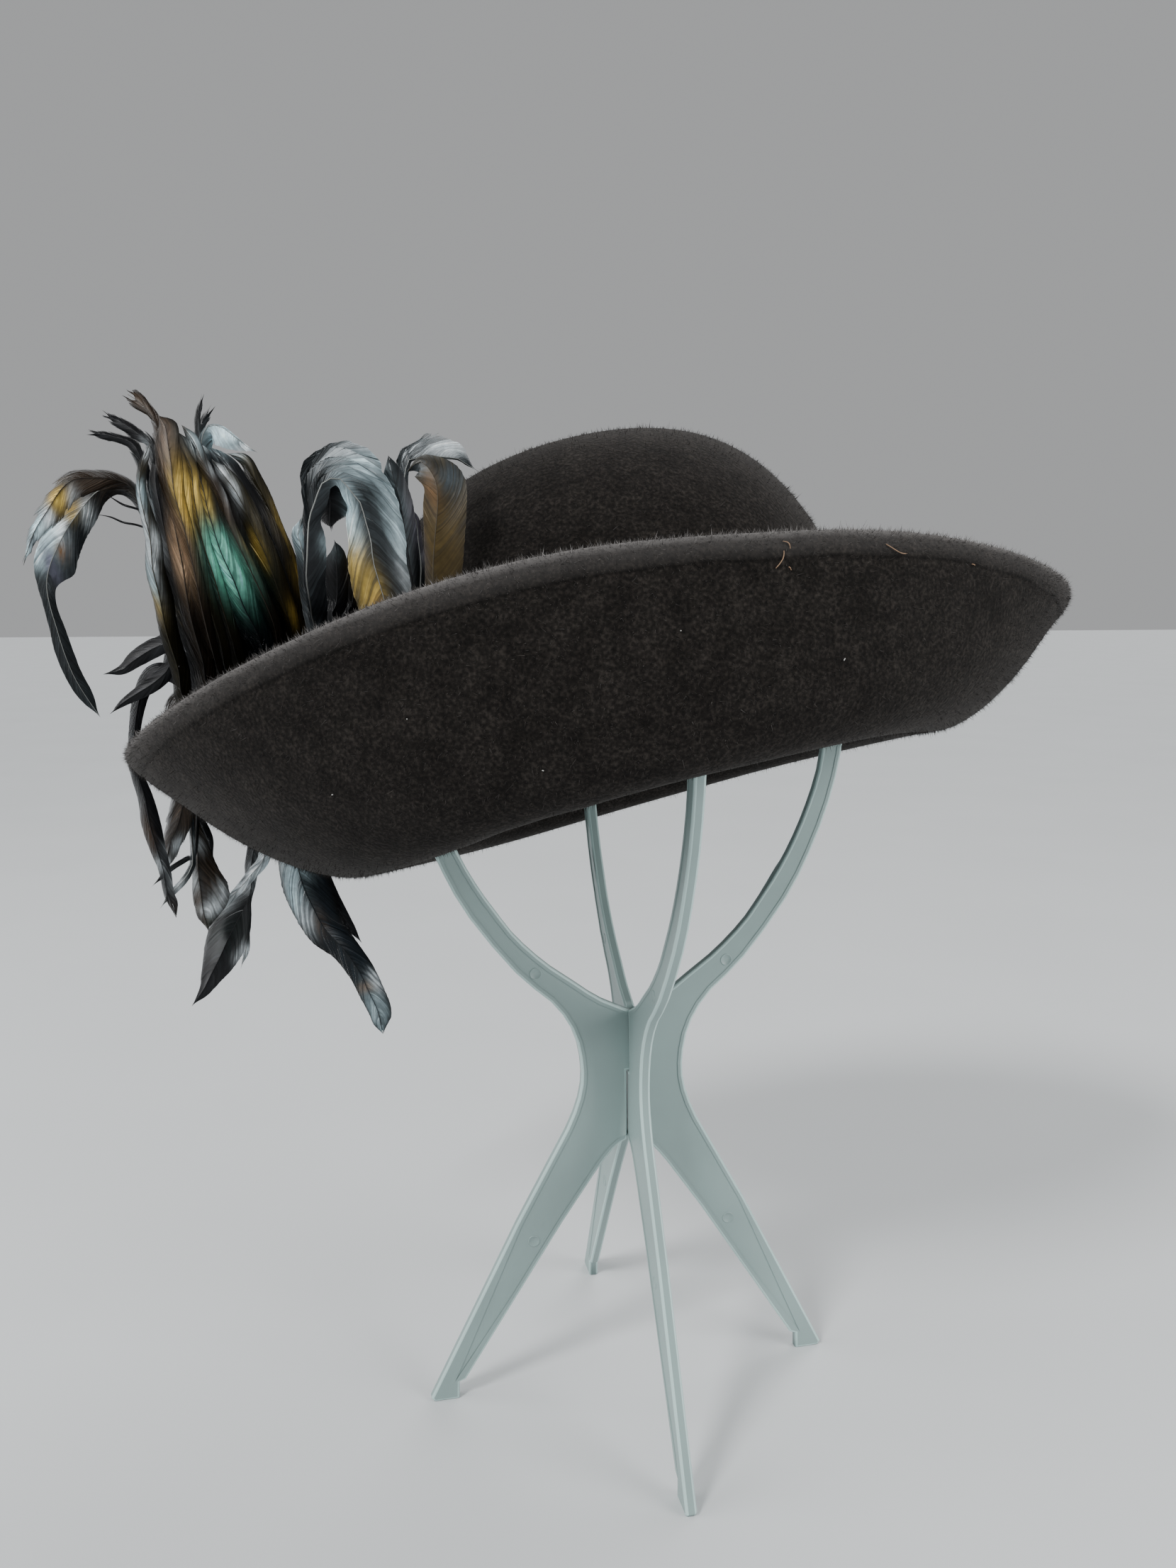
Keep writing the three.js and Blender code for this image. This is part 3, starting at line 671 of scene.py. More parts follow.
DROOPING = [
    Feather("black", 2.4, 0.05, (0, 0), [
        (-122, 6, 30, 2, 2), (-148, 14, 82, 3, 3), (-163, 20, 97, 3.5, 3.5), (-174, 24, 90, 3, 3),
    ] + shown(DROOPING_CROP, [
        (185, 20, 26, 22, 30), (205, 120, 28, 28, 35), (240, 250, 30, 42, 41),
        (278, 390, 31, 56, 46), (312, 520, 32, 44, 40), (345, 640, 33, 38, 26),
        (372, 760, 34, 34, 22), (392, 830, 34, 28, 22), (408, 893, 34, 6, 8)])),
    Feather("brown", 2.4, 0.5, (0, 0), [
        (-120, 10, 30, 2, 2), (-150, 26, 80, 3, 3), (-163, 32, 86, 4, 4), (-168, 35, 72, 5, 5),
    ] + shown(DROOPING_CROP, [
        (470, 180, 36, 70, 60), (440, 290, 38, 66, 66), (418, 390, 39, 62, 64),
        (388, 490, 40, 56, 46), (360, 570, 40, 40, 26), (342, 636, 40, 4, 6)])),
    Feather("slate", 2, 0.4, (0, 0), [(-171, 42, 48, 1.2, 1.2)] + shown(DROOPING_CROP, [
        (500, 560, 38, 16, 16), (492, 640, 37, 18, 18), (445, 700, 36, 20, 18),
        (395, 760, 36, 18, 16), (335, 825, 36, 3, 3)])),
    Feather("black", 2, 0.4, (0, 0), [(-168, 46, 50, 0.9, 0.9)] + shown(DROOPING_CROP, [
        (520, 540, 42, 12, 12), (470, 580, 40, 14, 14), (400, 622, 39, 15, 14),
        (340, 660, 38, 14, 12), (288, 716, 38, 3, 3)])),
    Feather("brown", 1.6, 0.15, (0, 0), [
        (-118, 12, 30, 2, 2), (-146, 36, 76, 3, 3), (-158, 45, 82, 3, 3), (-168, 49, 62, 2.5, 2.5),
    ] + shown(DROOPING_CROP, [
        (500, 300, 50, 22, 26), (508, 400, 51, 36, 24), (520, 520, 52, 64, 26),
        (535, 640, 52, 108, 32), (548, 750, 52, 150, 44), (560, 850, 52, 120, 42),
        (572, 920, 52, 58, 30), (580, 960, 52, 4, 6)])),
    Feather("black", 2, 0.1, (0, 0), [
        (-117, 14, 30, 2, 2), (-142, 44, 76, 2, 2), (-158, 54, 80, 2, 2), (-170, 56, 58, 2, 2),
    ] + shown(DROOPING_CROP, [
        (520, 330, 56, 22, 22), (560, 400, 56, 28, 26), (590, 480, 56, 26, 26), (608, 580, 56, 3, 3)])),
    Feather("slate", 2.6, 0.2, (0, 0), [
        (-115, 14, 30, 2, 2), (-136, 48, 74, 3, 3), (-146, 60, 76, 3, 3), (-150, 67, 54, 3, 3),
        (-150, 66, 32, 2.7, 2.7), (-151, 64, 24, 2.9, 2.9), (-154, 62, 17, 2.6, 2.4),
        (-159, 60, 13, 2.4, 2.2), (-164, 59, 9, 2, 2.1), (-170, 58, 5, 1.6, 1.7),
        (-175, 57, 2, 1, 1.1), (-180, 57, -1, 0.2, 0.3)]),
    Feather("black", 1.6, 0.2, (0, 0), [
        (-115, 14, 30, 2, 2), (-138, 46, 74, 3, 3), (-149, 58, 76, 4, 4), (-154, 66, 52, 4, 4),
    ] + shown(DROOPING_CROP, [
        (830, 460, 66, 44, 40), (820, 600, 66, 40, 38), (812, 720, 65, 20, 40),
        (790, 810, 64, 22, 90), (745, 903, 63, 72, 132), (692, 1000, 62, 104, 120),
        (642, 1110, 60, 94, 90), (600, 1200, 59, 62, 52), (560, 1275, 58, 40, 24),
        (502, 1356, 58, 2, 3)])),
    Feather("slate", 2, 0.5, (0, 0), shown(DROOPING_CROP, [
        (790, 900, 66, 18, 18), (790, 1000, 66, 20, 18), (782, 1070, 65, 18, 16),
        (770, 1140, 65, 4, 4)])),
    Feather("navy", 2, 0.05, (0, 0), [
        (-112, 16, 30, 3, 3), (-128, 54, 74, 5, 5), (-138, 72, 78, 7, 6), (-143, 82, 55, 8, 7),
    ] + shown(DROOPING_CROP, [
        (1040, 480, 86, 110, 90), (1060, 600, 86, 130, 105), (1090, 720, 86, 138, 112),
        (1140, 830, 85, 128, 112), (1210, 945, 84, 100, 100), (1300, 1060, 82, 80, 72),
        (1390, 1180, 80, 78, 60), (1448, 1290, 79, 80, 56), (1488, 1390, 78, 72, 52),
        (1510, 1460, 77, 48, 40), (1518, 1515, 77, 14, 16)])),
    Feather("black", 2.2, 0.1, (0, 0), [
        (-112, 18, 30, 2, 2), (-126, 60, 74, 3, 3), (-135, 80, 76, 3.5, 3.5), (-140, 89, 45, 4, 4),
    ] + shown(DROOPING_CROP, [
        (1150, 560, 90, 50, 50), (1190, 658, 89, 48, 48), (1240, 770, 88, 44, 42),
        (1295, 870, 87, 34, 34), (1350, 950, 86, 22, 22), (1410, 1018, 85, 2, 3)])),
]
CURLS = [
    Feather("slate", 1.5, 0.06, (0, 0), [
        (-72, -84, 20, 2, 2), (-80, -81, 58, 2, 3),
    ] + shown(CURL_CROP, [
        (300, 1400, -80, 30, 90), (265, 1250, -83, 26, 110), (245, 1100, -85, 25, 122),
        (236, 950, -86, 25, 125), (242, 820, -87, 28, 112), (262, 690, -88, 50, 74),
        (290, 580, -89, 78, 80), (330, 488, -90, 120, 70), (378, 440, -90, 190, 60),
        (430, 434, -90, 262, 50), (480, 460, -90, 272, 50), (535, 522, -90, 245, 64),
        (585, 600, -90, 236, 96), (622, 695, -89, 232, 132), (652, 830, -88, 226, 150),
        (680, 980, -87, 214, 166), (706, 1100, -86, 202, 182), (740, 1230, -85, 184, 182),
        (765, 1340, -84, 165, 165), (790, 1440, -83, 120, 120), (810, 1528, -82, 60, 60),
        (822, 1590, -81, 8, 8)])),
    Feather("black", 2, 0.02, (0, 0), [
        (-54, -84, 20, 2, 2), (-52, -81, 58, 2, 2),
    ] + shown(CURL_CROP, [
        (940, 1290, -82, 45, 45), (935, 1180, -83, 50, 42), (922, 1000, -84, 46, 60),
        (893, 820, -85, 44, 72), (862, 650, -86, 44, 78), (832, 510, -86, 58, 76),
        (803, 398, -86, 64, 62), (785, 325, -85, 48, 52), (778, 295, -85, 14, 20)])),
    Feather("slate", 2, 0.05, (0, 0), [
        (-50, -84, 20, 1.5, 1.5), (-51, -80, 58, 1.4, 1.2),
    ] + shown(CURL_CROP, [
        (975, 1290, -80, 30, 24), (985, 1150, -81, 34, 26), (990, 1000, -82, 42, 28),
        (972, 860, -82, 42, 26), (945, 720, -82, 32, 24), (915, 620, -82, 14, 14),
        (905, 590, -82, 4, 4)])),
    Feather("slate", 1.9, 0.5, (0, 0), [
        (-46, -84, 20, 1.5, 1.5), (-50, -78, 60, 1.5, 1.5),
    ] + shown(CURL_CROP, [
        (900, 1000, -76, 24, 24), (885, 700, -77, 30, 28), (870, 480, -78, 42, 26),
        (885, 368, -78, 66, 24), (930, 313, -78, 98, 20), (1000, 298, -78, 136, 16),
        (1080, 290, -77, 164, 14), (1160, 292, -76, 150, 12), (1225, 306, -75, 92, 10),
        (1285, 338, -74, 36, 8), (1335, 380, -74, 3, 3)])),
    Feather("amber", 1.4, 0.05, (0, 0), [
        (-44, -88, 20, 2, 3), (-46, -87, 54, 2, 5),
    ] + shown(CURL_CROP, [
        (1040, 1300, -88, 50, 140), (1055, 1180, -88, 58, 172), (1066, 1000, -88, 56, 192),
        (1085, 800, -88, 78, 192), (1098, 600, -87, 98, 186), (1088, 475, -86, 88, 188),
        (1052, 380, -84, 100, 140), (995, 333, -82, 108, 50), (935, 345, -80, 70, 20),
        (905, 385, -79, 12, 8)])),
    Feather("black", 1.8, 0.1, (0, 0), [(-70, -82, 20, 1.5, 1.5)] + shown(CURL_CROP, [
        (430, 1440, -76, 80, 60), (438, 1250, -77, 84, 66), (443, 1080, -78, 84, 70),
        (442, 980, -78, 76, 68), (436, 910, -78, 62, 62), (430, 872, -78, 36, 42),
        (425, 850, -78, 6, 6)])),
    Feather("slate", 1.8, 0.2, (0, 0), [
        (-76, -80, 20, 1.5, 1.5), (-84, -70, 66, 2, 2),
    ] + shown(CURL_CROP, [
        (250, 1248, -66, 40, 40), (225, 1050, -67, 52, 46), (205, 900, -68, 50, 42),
        (188, 800, -69, 42, 36), (205, 720, -69, 30, 20), (216, 680, -69, 6, 6)])),
    Feather("black", 1.8, 0.1, (0, 0), [(-66, -82, 20, 1.5, 1.5)] + shown(CURL_CROP, [
        (535, 1430, -73, 60, 60), (545, 1250, -74, 66, 66), (550, 1050, -75, 60, 60),
        (540, 920, -75, 40, 40), (525, 840, -75, 8, 8)])),
    Feather("black", 0.25, 0.4, (0, 0), shown(CURL_CROP, [
        (380, 425, -87, 60, 60), (382, 490, -86, 112, 100), (386, 570, -85, 125, 112),
        (392, 650, -84, 124, 100), (398, 710, -84, 92, 80), (402, 748, -84, 20, 20)])),
]


class Filler(NamedTuple):
    """A feather behind the bunch: which two it lies between, how far along and how far back."""

    first: int
    last: int
    mix: float
    behind: float
    turn: float


FILLERS = [
    Filler(0, 5, 0.2, 5, 0),
    Filler(0, 5, 0.5, 9, 20),
    Filler(0, 5, 0.8, 6, -20),
    Filler(5, 9, 0.25, 7, 20),
    Filler(5, 9, 0.6, 5, 0),
    Filler(0, 9, 0.15, 13, 70),
    Filler(0, 9, 0.3, 22, 45),
    Filler(0, 9, 0.45, 14, -65),
    Filler(0, 9, 0.6, 24, 60),
    Filler(0, 9, 0.7, 13, 70),
    Filler(0, 9, 0.8, 18, -50),
    Filler(0, 9, 0.9, 12, -70),
]


class Glint(NamedTuple):
    """A patch painted over the vanes: painted sheen, highlight or shade, or a tone of the feathers; its
    middle along and up the hat's frame, its reach and its colour.
    """

    x: float
    z: float
    reach_x: float
    reach_z: float
    colour: tuple
    strength: float


# Patch colours: GOLD to SILVER are painted sheen and highlights, SHADOW is painted shade, the others
# tint the feathers' own tones
GOLD = (0.74, 0.52, 0.11)
ROSE_GOLD = (0.62, 0.42, 0.26)
TEAL = (0.34, 0.95, 0.74)
CYAN = (0.62, 0.80, 0.86)
SILVER = (0.86, 0.94, 0.98)
LILAC = (0.12, 0.12, 0.17)
SLATE = (0.06, 0.075, 0.085)
AMBER = (0.075, 0.050, 0.014)
RUST = (0.17, 0.085, 0.03)
BRONZE = (0.075, 0.050, 0.033)
GREEN = (0.012, 0.030, 0.024)
SHADOW = (0.007, 0.008, 0.010)

SHEEN_SPREAD = 1.3
LEAST_REACH = 2


def sheen(crop, x, y, depth, wide, high, colour, strength):
    """A patch picked on a crop: its reach both ways is in the crop's pixels, without its fade."""
    place = hat_place(crop, x, y, depth)
    size = pixel_size(crop, depth) * SHEEN_SPREAD
    reach_x, reach_z = max(LEAST_REACH, round(wide * size)), max(LEAST_REACH, round(high * size))
    return Glint(round(place.x), round(place.z), reach_x, reach_z, colour, strength)


BUNCH_GLINTS = [
    sheen(BUNCH_CROP, 855, 540, -31, 30, 115, GOLD, 0.95),
    sheen(BUNCH_CROP, 872, 690, -31, 24, 90, GOLD, 0.85),
    sheen(BUNCH_CROP, 915, 588, -31, 22, 95, GOLD, 0.9),
    sheen(BUNCH_CROP, 982, 640, -29, 28, 90, GOLD, 0.6),
    sheen(BUNCH_CROP, 848, 930, -28, 50, 110, ROSE_GOLD, 0.9),
    sheen(BUNCH_CROP, 830, 800, -30, 30, 80, ROSE_GOLD, 0.5),
    sheen(BUNCH_CROP, 1022, 930, -27, 38, 110, TEAL, 0.95),
    sheen(BUNCH_CROP, 1114, 1010, -24, 66, 105, TEAL, 0.95),
    sheen(BUNCH_CROP, 1060, 840, -28, 22, 50, TEAL, 0.6),
    Glint(-141, 141, 1.4, 11, SILVER, 1),
    Glint(-142, 128, 1.4, 10, SILVER, 1),
    Glint(-144, 119, 1.2, 7, CYAN, 0.9),
    Glint(-138, 131, 1.2, 5, SILVER, 0.8),
    sheen(BUNCH_CROP, 638, 600, -24, 14, 60, CYAN, 0.8),
    sheen(BUNCH_CROP, 670, 370, -18, 18, 45, SILVER, 0.95),
    sheen(BUNCH_CROP, 612, 510, -12, 12, 70, SILVER, 0.7),
    sheen(BUNCH_CROP, 722, 1165, -22, 14, 60, GOLD, 0.4),
    sheen(BUNCH_CROP, 1040, 488, -27, 24, 38, SILVER, 0.8),
    sheen(BUNCH_CROP, 1108, 600, -26, 24, 60, SILVER, 0.8),
    sheen(BUNCH_CROP, 1212, 855, -24, 16, 50, GOLD, 0.7),
    sheen(BUNCH_CROP, 1255, 925, -22, 14, 45, GOLD, 0.6),
    sheen(BUNCH_CROP, 1440, 1048, -13, 16, 60, GOLD, 0.6),
    sheen(BUNCH_CROP, 1375, 760, -20, 40, 90, GOLD, 0.25),
    sheen(BUNCH_CROP, 1440, 1235, -8, 14, 50, GOLD, 0.6),
    sheen(BUNCH_CROP, 210, 628, -14, 45, 45, GOLD, 0.85),
    sheen(BUNCH_CROP, 112, 765, -12, 48, 90, CYAN, 0.95),
    sheen(BUNCH_CROP, 66, 880, -11, 20, 50, CYAN, 0.95),
    sheen(BUNCH_CROP, 210, 760, -8, 26, 60, SILVER, 0.8),
    sheen(BUNCH_CROP, 372, 700, -3, 12, 60, SILVER, 0.7),
    sheen(BUNCH_CROP, 225, 880, -4, 12, 30, RUST, 0.9),
    sheen(BUNCH_CROP, 186, 960, -2, 14, 75, LILAC, 0.8),
    sheen(BUNCH_CROP, 1065, 300, -19, 110, 75, CYAN, 0.9),
    sheen(BUNCH_CROP, 1190, 370, -20, 45, 20, SILVER, 0.8),
    sheen(BUNCH_CROP, 765, 298, -26, 90, 120, BRONZE, 0.75),
    sheen(BUNCH_CROP, 800, 430, -31, 80, 90, BRONZE, 0.6),
    sheen(BUNCH_CROP, 600, 110, -16, 60, 60, BRONZE, 0.5),
    sheen(BUNCH_CROP, 1060, 640, -31, 26, 120, BRONZE, 0.6),
    sheen(BUNCH_CROP, 1150, 860, -29, 26, 120, BRONZE, 0.5),
    sheen(BUNCH_CROP, 360, 540, -12, 110, 60, BRONZE, 0.4),
]
DROOPING_GLINTS = [
    sheen(DROOPING_CROP, 350, 600, 40, 18, 35, SILVER, 0.95),
    sheen(DROOPING_CROP, 432, 510, 39, 38, 30, SILVER, 0.8),
    sheen(DROOPING_CROP, 425, 713, 36, 36, 50, SILVER, 0.6),
    sheen(DROOPING_CROP, 252, 440, 31, 16, 80, RUST, 0.7),
    sheen(DROOPING_CROP, 400, 840, 34, 24, 45, BRONZE, 0.6),
    sheen(DROOPING_CROP, 535, 830, 52, 26, 100, BRONZE, 0.5),
    Glint(-153, 24, 4, 8, SILVER, 0.98),
    Glint(-158, 14, 4, 4, SILVER, 0.98),
    Glint(-166, 8, 6, 3, SILVER, 0.98),
    Glint(-175, 3, 5, 3, SILVER, 0.95),
    sheen(DROOPING_CROP, 700, 960, 63, 100, 100, GREEN, 0.6),
    sheen(DROOPING_CROP, 755, 1100, 65, 12, 20, SILVER, 0.95),
    sheen(DROOPING_CROP, 782, 1060, 65, 12, 20, SILVER, 0.9),
    sheen(DROOPING_CROP, 1030, 788, 85, 46, 110, CYAN, 0.75),
    sheen(DROOPING_CROP, 1092, 905, 84, 40, 60, SILVER, 0.6),
    sheen(DROOPING_CROP, 1170, 920, 84, 28, 60, BRONZE, 0.5),
    sheen(DROOPING_CROP, 1443, 1265, 79, 38, 22, RUST, 0.95),
    sheen(DROOPING_CROP, 1492, 1215, 79, 26, 32, SILVER, 0.95),
    sheen(DROOPING_CROP, 1500, 1262, 79, 20, 25, SILVER, 0.5),
    sheen(DROOPING_CROP, 1488, 1400, 78, 60, 110, CYAN, 0.35),
    sheen(DROOPING_CROP, 1060, 640, 86, 60, 50, CYAN, 0.4),
]
CURL_GLINTS = [
    # The first three patches are painted shade over the curl's left leg and the inside of its arch
    sheen(CURL_CROP, 295, 1150, -85, 62, 300, SHADOW, 0.92),
    Glint(-67, 108, 5, 4, SHADOW, 0.5),
    Glint(-73, 102, 3, 6, SHADOW, 0.45),
    sheen(CURL_CROP, 530, 250, -90, 90, 55, SILVER, 0.8),
    sheen(CURL_CROP, 620, 330, -90, 80, 70, CYAN, 0.65),
    Glint(-49, 105, 3, 9, CYAN, 0.45),
    Glint(-50, 94, 2, 7, CYAN, 0.45),
    Glint(-51, 84, 2, 6, SILVER, 0.25),
    sheen(CURL_CROP, 520, 640, -89, 30, 130, CYAN, 0.95),
    sheen(CURL_CROP, 545, 830, -88, 34, 80, CYAN, 0.9),
    sheen(CURL_CROP, 570, 985, -87, 52, 110, GOLD, 0.6),
    sheen(CURL_CROP, 640, 1180, -86, 66, 120, GOLD, 0.55),
    sheen(CURL_CROP, 705, 1250, -85, 30, 50, RUST, 0.6),
    sheen(CURL_CROP, 415, 920, -78, 30, 50, CYAN, 0.35),
    sheen(CURL_CROP, 178, 790, -69, 34, 75, CYAN, 0.8),
    sheen(CURL_CROP, 972, 800, -82, 34, 160, LILAC, 0.8),
    sheen(CURL_CROP, 1080, 200, -77, 130, 55, SILVER, 0.6),
    sheen(CURL_CROP, 1190, 235, -76, 80, 55, SILVER, 0.6),
    sheen(CURL_CROP, 1045, 520, -87, 34, 110, RUST, 0.5),
    sheen(CURL_CROP, 1150, 850, -88, 70, 180, AMBER, 0.8),
    sheen(CURL_CROP, 1060, 920, -88, 50, 260, AMBER, 0.8),
    sheen(CURL_CROP, 1195, 430, -86, 70, 80, SLATE, 0.9),
    sheen(CURL_CROP, 965, 385, -81, 60, 50, SLATE, 0.8),
]

FACING = np.array([0.0, -1.0, 0.0])
STATIONS = np.array([0.0, 0.15, 0.34, 0.56, 0.8, 1.0])
# Painted shade by the shaft and along the vane's edge, where feathers lap, by station out along a
# strand; then the feather colours that take it
PAINTED_SEAM_SHADE = np.array([0.45, 0.9, 1.0, 1.0, 0.8, 0.15])
SEAM_SHADED = ("olive", "brown", "navy")
TONE_SPREAD = 0.35
# How patchy and how strong the painted sheen is
DULL_SHARE = 0.14
DULL_SHEEN = 0.45
SHEEN_PATCHINESS = (0.75, 1.1)
SHEEN_WEIGHT = 1.35
BLACK_SHEEN = 0.3

# The shaft's path and its tube, in millimetres
ROUNDED_TIP = 6
LEAST_WIDTH = 0.05
PATH_STEP = 1.5
SHAFT_RADIUS = 0.32
SHAFT_SIDES = 5
SHAFT_RING_GAP = 3
SHAFT_LIFT = 0.15

# How far strands lap, lift and bend; lengths are in millimetres
LONGEST_GAP = 2.6
STRAND_OVERLAP = 0.58
STRAND_TILT = 0.06
CLUMP_LIFT = 0.14
HAND_LIFT = 0.1
VANE_DROOP = 0.1
BARE_ROOT = 0.04
LEAST_LEAD = 1.5
UNEVEN_STEP = 0.2

# How unevenly strands grow: anywhere, then what a fully frayed tip adds
LEAD_SPREAD = (0.015, 0.03)
CLUMP_CHANCE = (0.05, 0.2)
CLUMP_DRIFT = (0.006, 0.12)
RAGGED_EDGE = (0.012, 0.25)

# What a fully frayed tip takes off the gaps between strands, and how far it reaches out
FRAYED_CLOSER = 0.3
FRAYED_SPLITS = 1.6
FRAYED_BEYOND = 4


def smooth_path(rows):
    """A Catmull-Rom curve through the rows, every column with it, at even steps."""
    knots = np.array(rows, float)
    knots = np.vstack([2 * knots[0] - knots[1], knots, 2 * knots[-1] - knots[-2]])
    t = np.linspace(0, 1, 12, endpoint=False)[:, None]
    runs = []
    for a, b, c, d in zip(knots, knots[1:], knots[2:], knots[3:]):
        runs.append(0.5 * (2 * b + (c - a) * t + (2 * a - 5 * b + 4 * c - d) * t**2
                           + (3 * b - a - 3 * c + d) * t**3))
    dense = np.vstack(runs + [knots[-2][None]])
    gaps = np.linalg.norm(np.diff(dense[:, :3], axis=0), axis=1)
    arc = np.concatenate([[0], np.cumsum(gaps)])
    even = np.linspace(0, arc[-1], max(8, int(arc[-1] / PATH_STEP)))
    return np.stack([np.interp(even, arc, column) for column in dense.T], 1), even


class Track:
    """The shaft's path with its directions and the vane's widths at each distance."""

    def __init__(self, feather):
        rows, self.arc = smooth_path(feather.rows)
        self.path = rows[:, :3]
        self.length = self.arc[-1]
        left = (self.length - self.arc) / (ROUNDED_TIP * (1 - feather.tip))
        rounding = np.sqrt(np.clip(left, 0.01 + 0.5 * feather.tip**2, 1))
        self.widths = {
            -1: np.maximum(rows[:, 3] * rounding, LEAST_WIDTH),
            1: np.maximum(rows[:, 4] * rounding, LEAST_WIDTH),
        }
        self.ahead = unit(np.gradient(self.path, axis=0))
        side = unit(np.cross(self.ahead, FACING))
        face = np.cross(side, self.ahead)
        angle = np.radians(np.interp(self.arc / self.length, [0.2, 1], feather.turn))[:, None]
        self.side = side * np.cos(angle) + face * np.sin(angle)
        self.face = face * np.cos(angle) - side * np.sin(angle)

    def read(self, rows, distance):
        return np.stack([np.interp(distance, self.arc, rows[:, k]) for k in range(3)], -1)

    def at(self, distance):
        beyond = np.maximum(distance - self.length, 0)[..., None]
        return self.read(self.path, distance) + self.ahead[-1] * beyond

    def width(self, hand, distance):
        return np.interp(distance, self.arc, self.widths[hand])


def strand_colours(points, feather, glints, random, count):
    """Each strand has its own tone, takes on the painted sheen or shade of the patches it crosses, and
    some feathers get painted shade by the shaft and at the vane's edge.
    """
    base = np.array(FEATHER_COLOURS[feather.colour])
    tone = random.lognormal(0, TONE_SPREAD, (count, 1, 1, 1))
    colours = np.broadcast_to(base * tone, points.shape).copy()
    group = np.repeat(random.random(count), random.integers(1, 4, count))[:count]
    flake = np.where(group < DULL_SHARE, DULL_SHEEN, 0.7 + 0.3 * random.random(count))
    flake = flake[:, None, None] * random.uniform(*SHEEN_PATCHINESS, points.shape[:2] + (1,))
    # Painted highlight: some strands' sheen is made brighter still
    bright = 1.0 + 1.0 * (group**2)[:, None, None] * random.random((count, 1, 1))
    if feather.colour == "black":
        flake = BLACK_SHEEN * flake
    for glint in glints:
        off_x = (points[..., 0] - glint.x) / glint.reach_x
        off_z = (points[..., 2] - glint.z) / glint.reach_z
        weight = SHEEN_WEIGHT * glint.strength * np.exp(-(off_x**2) - off_z**2) * flake
        shine = np.array(glint.colour) * bright[..., None]
        colours += (shine - colours) * np.clip(weight, 0, 1)[..., None]
    # Painted shade at the seams between feathers
    if feather.colour in SEAM_SHADED:
        colours *= PAINTED_SEAM_SHADE[:, None, None]
    return np.clip(colours, 0, 1)


def strand_ends(track, hand, spacing, beyond):
    """Even steps round the vane's edge, as distances along the shaft."""
    edge = track.path + track.side * (hand * track.widths[hand])[:, None]
    stretch = np.linalg.norm(np.gradient(edge, track.arc, axis=0), axis=1)
    steps = np.maximum(stretch[1:], 1) * np.diff(track.arc)
    measure = np.concatenate([[0], np.cumsum(steps)])
    places = np.arange(BARE_ROOT * measure[-1], measure[-1] + beyond, spacing)
    return np.interp(places, measure, track.arc) + np.maximum(places - measure[-1], 0)


def strand_steps(middle, furthest):
    """The steps to the strand before and the one after, cut short where a vane splits."""
    step = np.diff(middle, axis=0)
    length = np.linalg.norm(step, axis=-1, keepdims=True)
    step *= np.minimum(1, furthest / np.maximum(length, 1e-6))
    return np.concatenate([step[:1], step]), np.concatenate([step, step[-1:]])


def strand_middles(track, feather, hand, random, spacing):
    """Where one vane's strands run, out from the shaft, and the way they face."""
    ends_apart = spacing * (1 - FRAYED_CLOSER * feather.tip)
    finish = strand_ends(track, hand, ends_apart, FRAYED_BEYOND * feather.tip)
    count = len(finish)
    finish = finish + random.uniform(-UNEVEN_STEP, UNEVEN_STEP, count) * spacing
    lead = feather.lean * track.width(hand, finish) + LEAST_LEAD
    near_tip = feather.tip * np.clip(finish / track.length, 0, 1.2) ** 5
    lead *= random.normal(1, LEAD_SPREAD[0] + LEAD_SPREAD[1] * near_tip, count)
    start = np.maximum(finish - lead, 0)
    clump_chance = CLUMP_CHANCE[0] + CLUMP_CHANCE[1] * feather.tip
    clump = np.cumsum(random.random(count) < clump_chance)
    drift = random.normal(0, 1, clump.max() + 1)[clump]
    distance = start[:, None] + (finish - start)[:, None] * STATIONS**1.15
    bend = drift * (CLUMP_DRIFT[0] + CLUMP_DRIFT[1] * near_tip) * lead
    distance += bend[:, None] * STATIONS**3
    ragged = random.normal(0, RAGGED_EDGE[0], count) + RAGGED_EDGE[1] * near_tip * drift
    ragged = 1 + ragged[:, None] * STATIONS**2
    edge_width = track.width(hand, distance[:, -1])[:, None]
    local_width = track.width(hand, distance)
    aside = (edge_width * STATIONS + local_width * (1 - STATIONS)) * STATIONS**0.85 * ragged
    side = track.read(track.side, distance)
    face = track.read(track.face, distance)
    lift = (drift * CLUMP_LIFT)[:, None] * STATIONS + HAND_LIFT * hand
    middle = track.at(distance) + side * (hand * aside)[..., None]
    middle += face * (lift - VANE_DROOP * aside)[..., None]
    return middle, face


def vane_arrays(feather, glints, random, spacing):
    """Strands of both vanes, each a tapered strip from the shaft out to the vane's edge."""
    track = Track(feather)
    taper = np.ones(len(STATIONS))
    taper[-2:] -= np.array([0.2, 0.8]) * feather.tip
    lap = STRAND_OVERLAP * taper[:, None]
    blocks = []
    for hand in (1, -1):
        middle, face = strand_middles(track, feather, hand, random, spacing)
        before, after = strand_steps(middle, LONGEST_GAP - FRAYED_SPLITS * feather.tip)
        tilt = face * STRAND_TILT
        points = np.stack([middle - lap * before - tilt, middle + lap * after + tilt], 2)
        colours = strand_colours(points, feather, glints, random, len(points))
        grid = np.arange(points.shape[0] * points.shape[1] * 2).reshape(len(points), -1, 2)
        near, far = grid[:, :-1], grid[:, 1:]
        quads = np.stack([near[..., 0], far[..., 0], far[..., 1], near[..., 1]], -1)
        if hand > 0:
            quads = quads[..., ::-1]
        blocks.append((points.reshape(-1, 3), quads.reshape(-1, 4), colours.reshape(-1, 3)))
    blocks.append(shaft_arrays(track, feather))
    return blocks


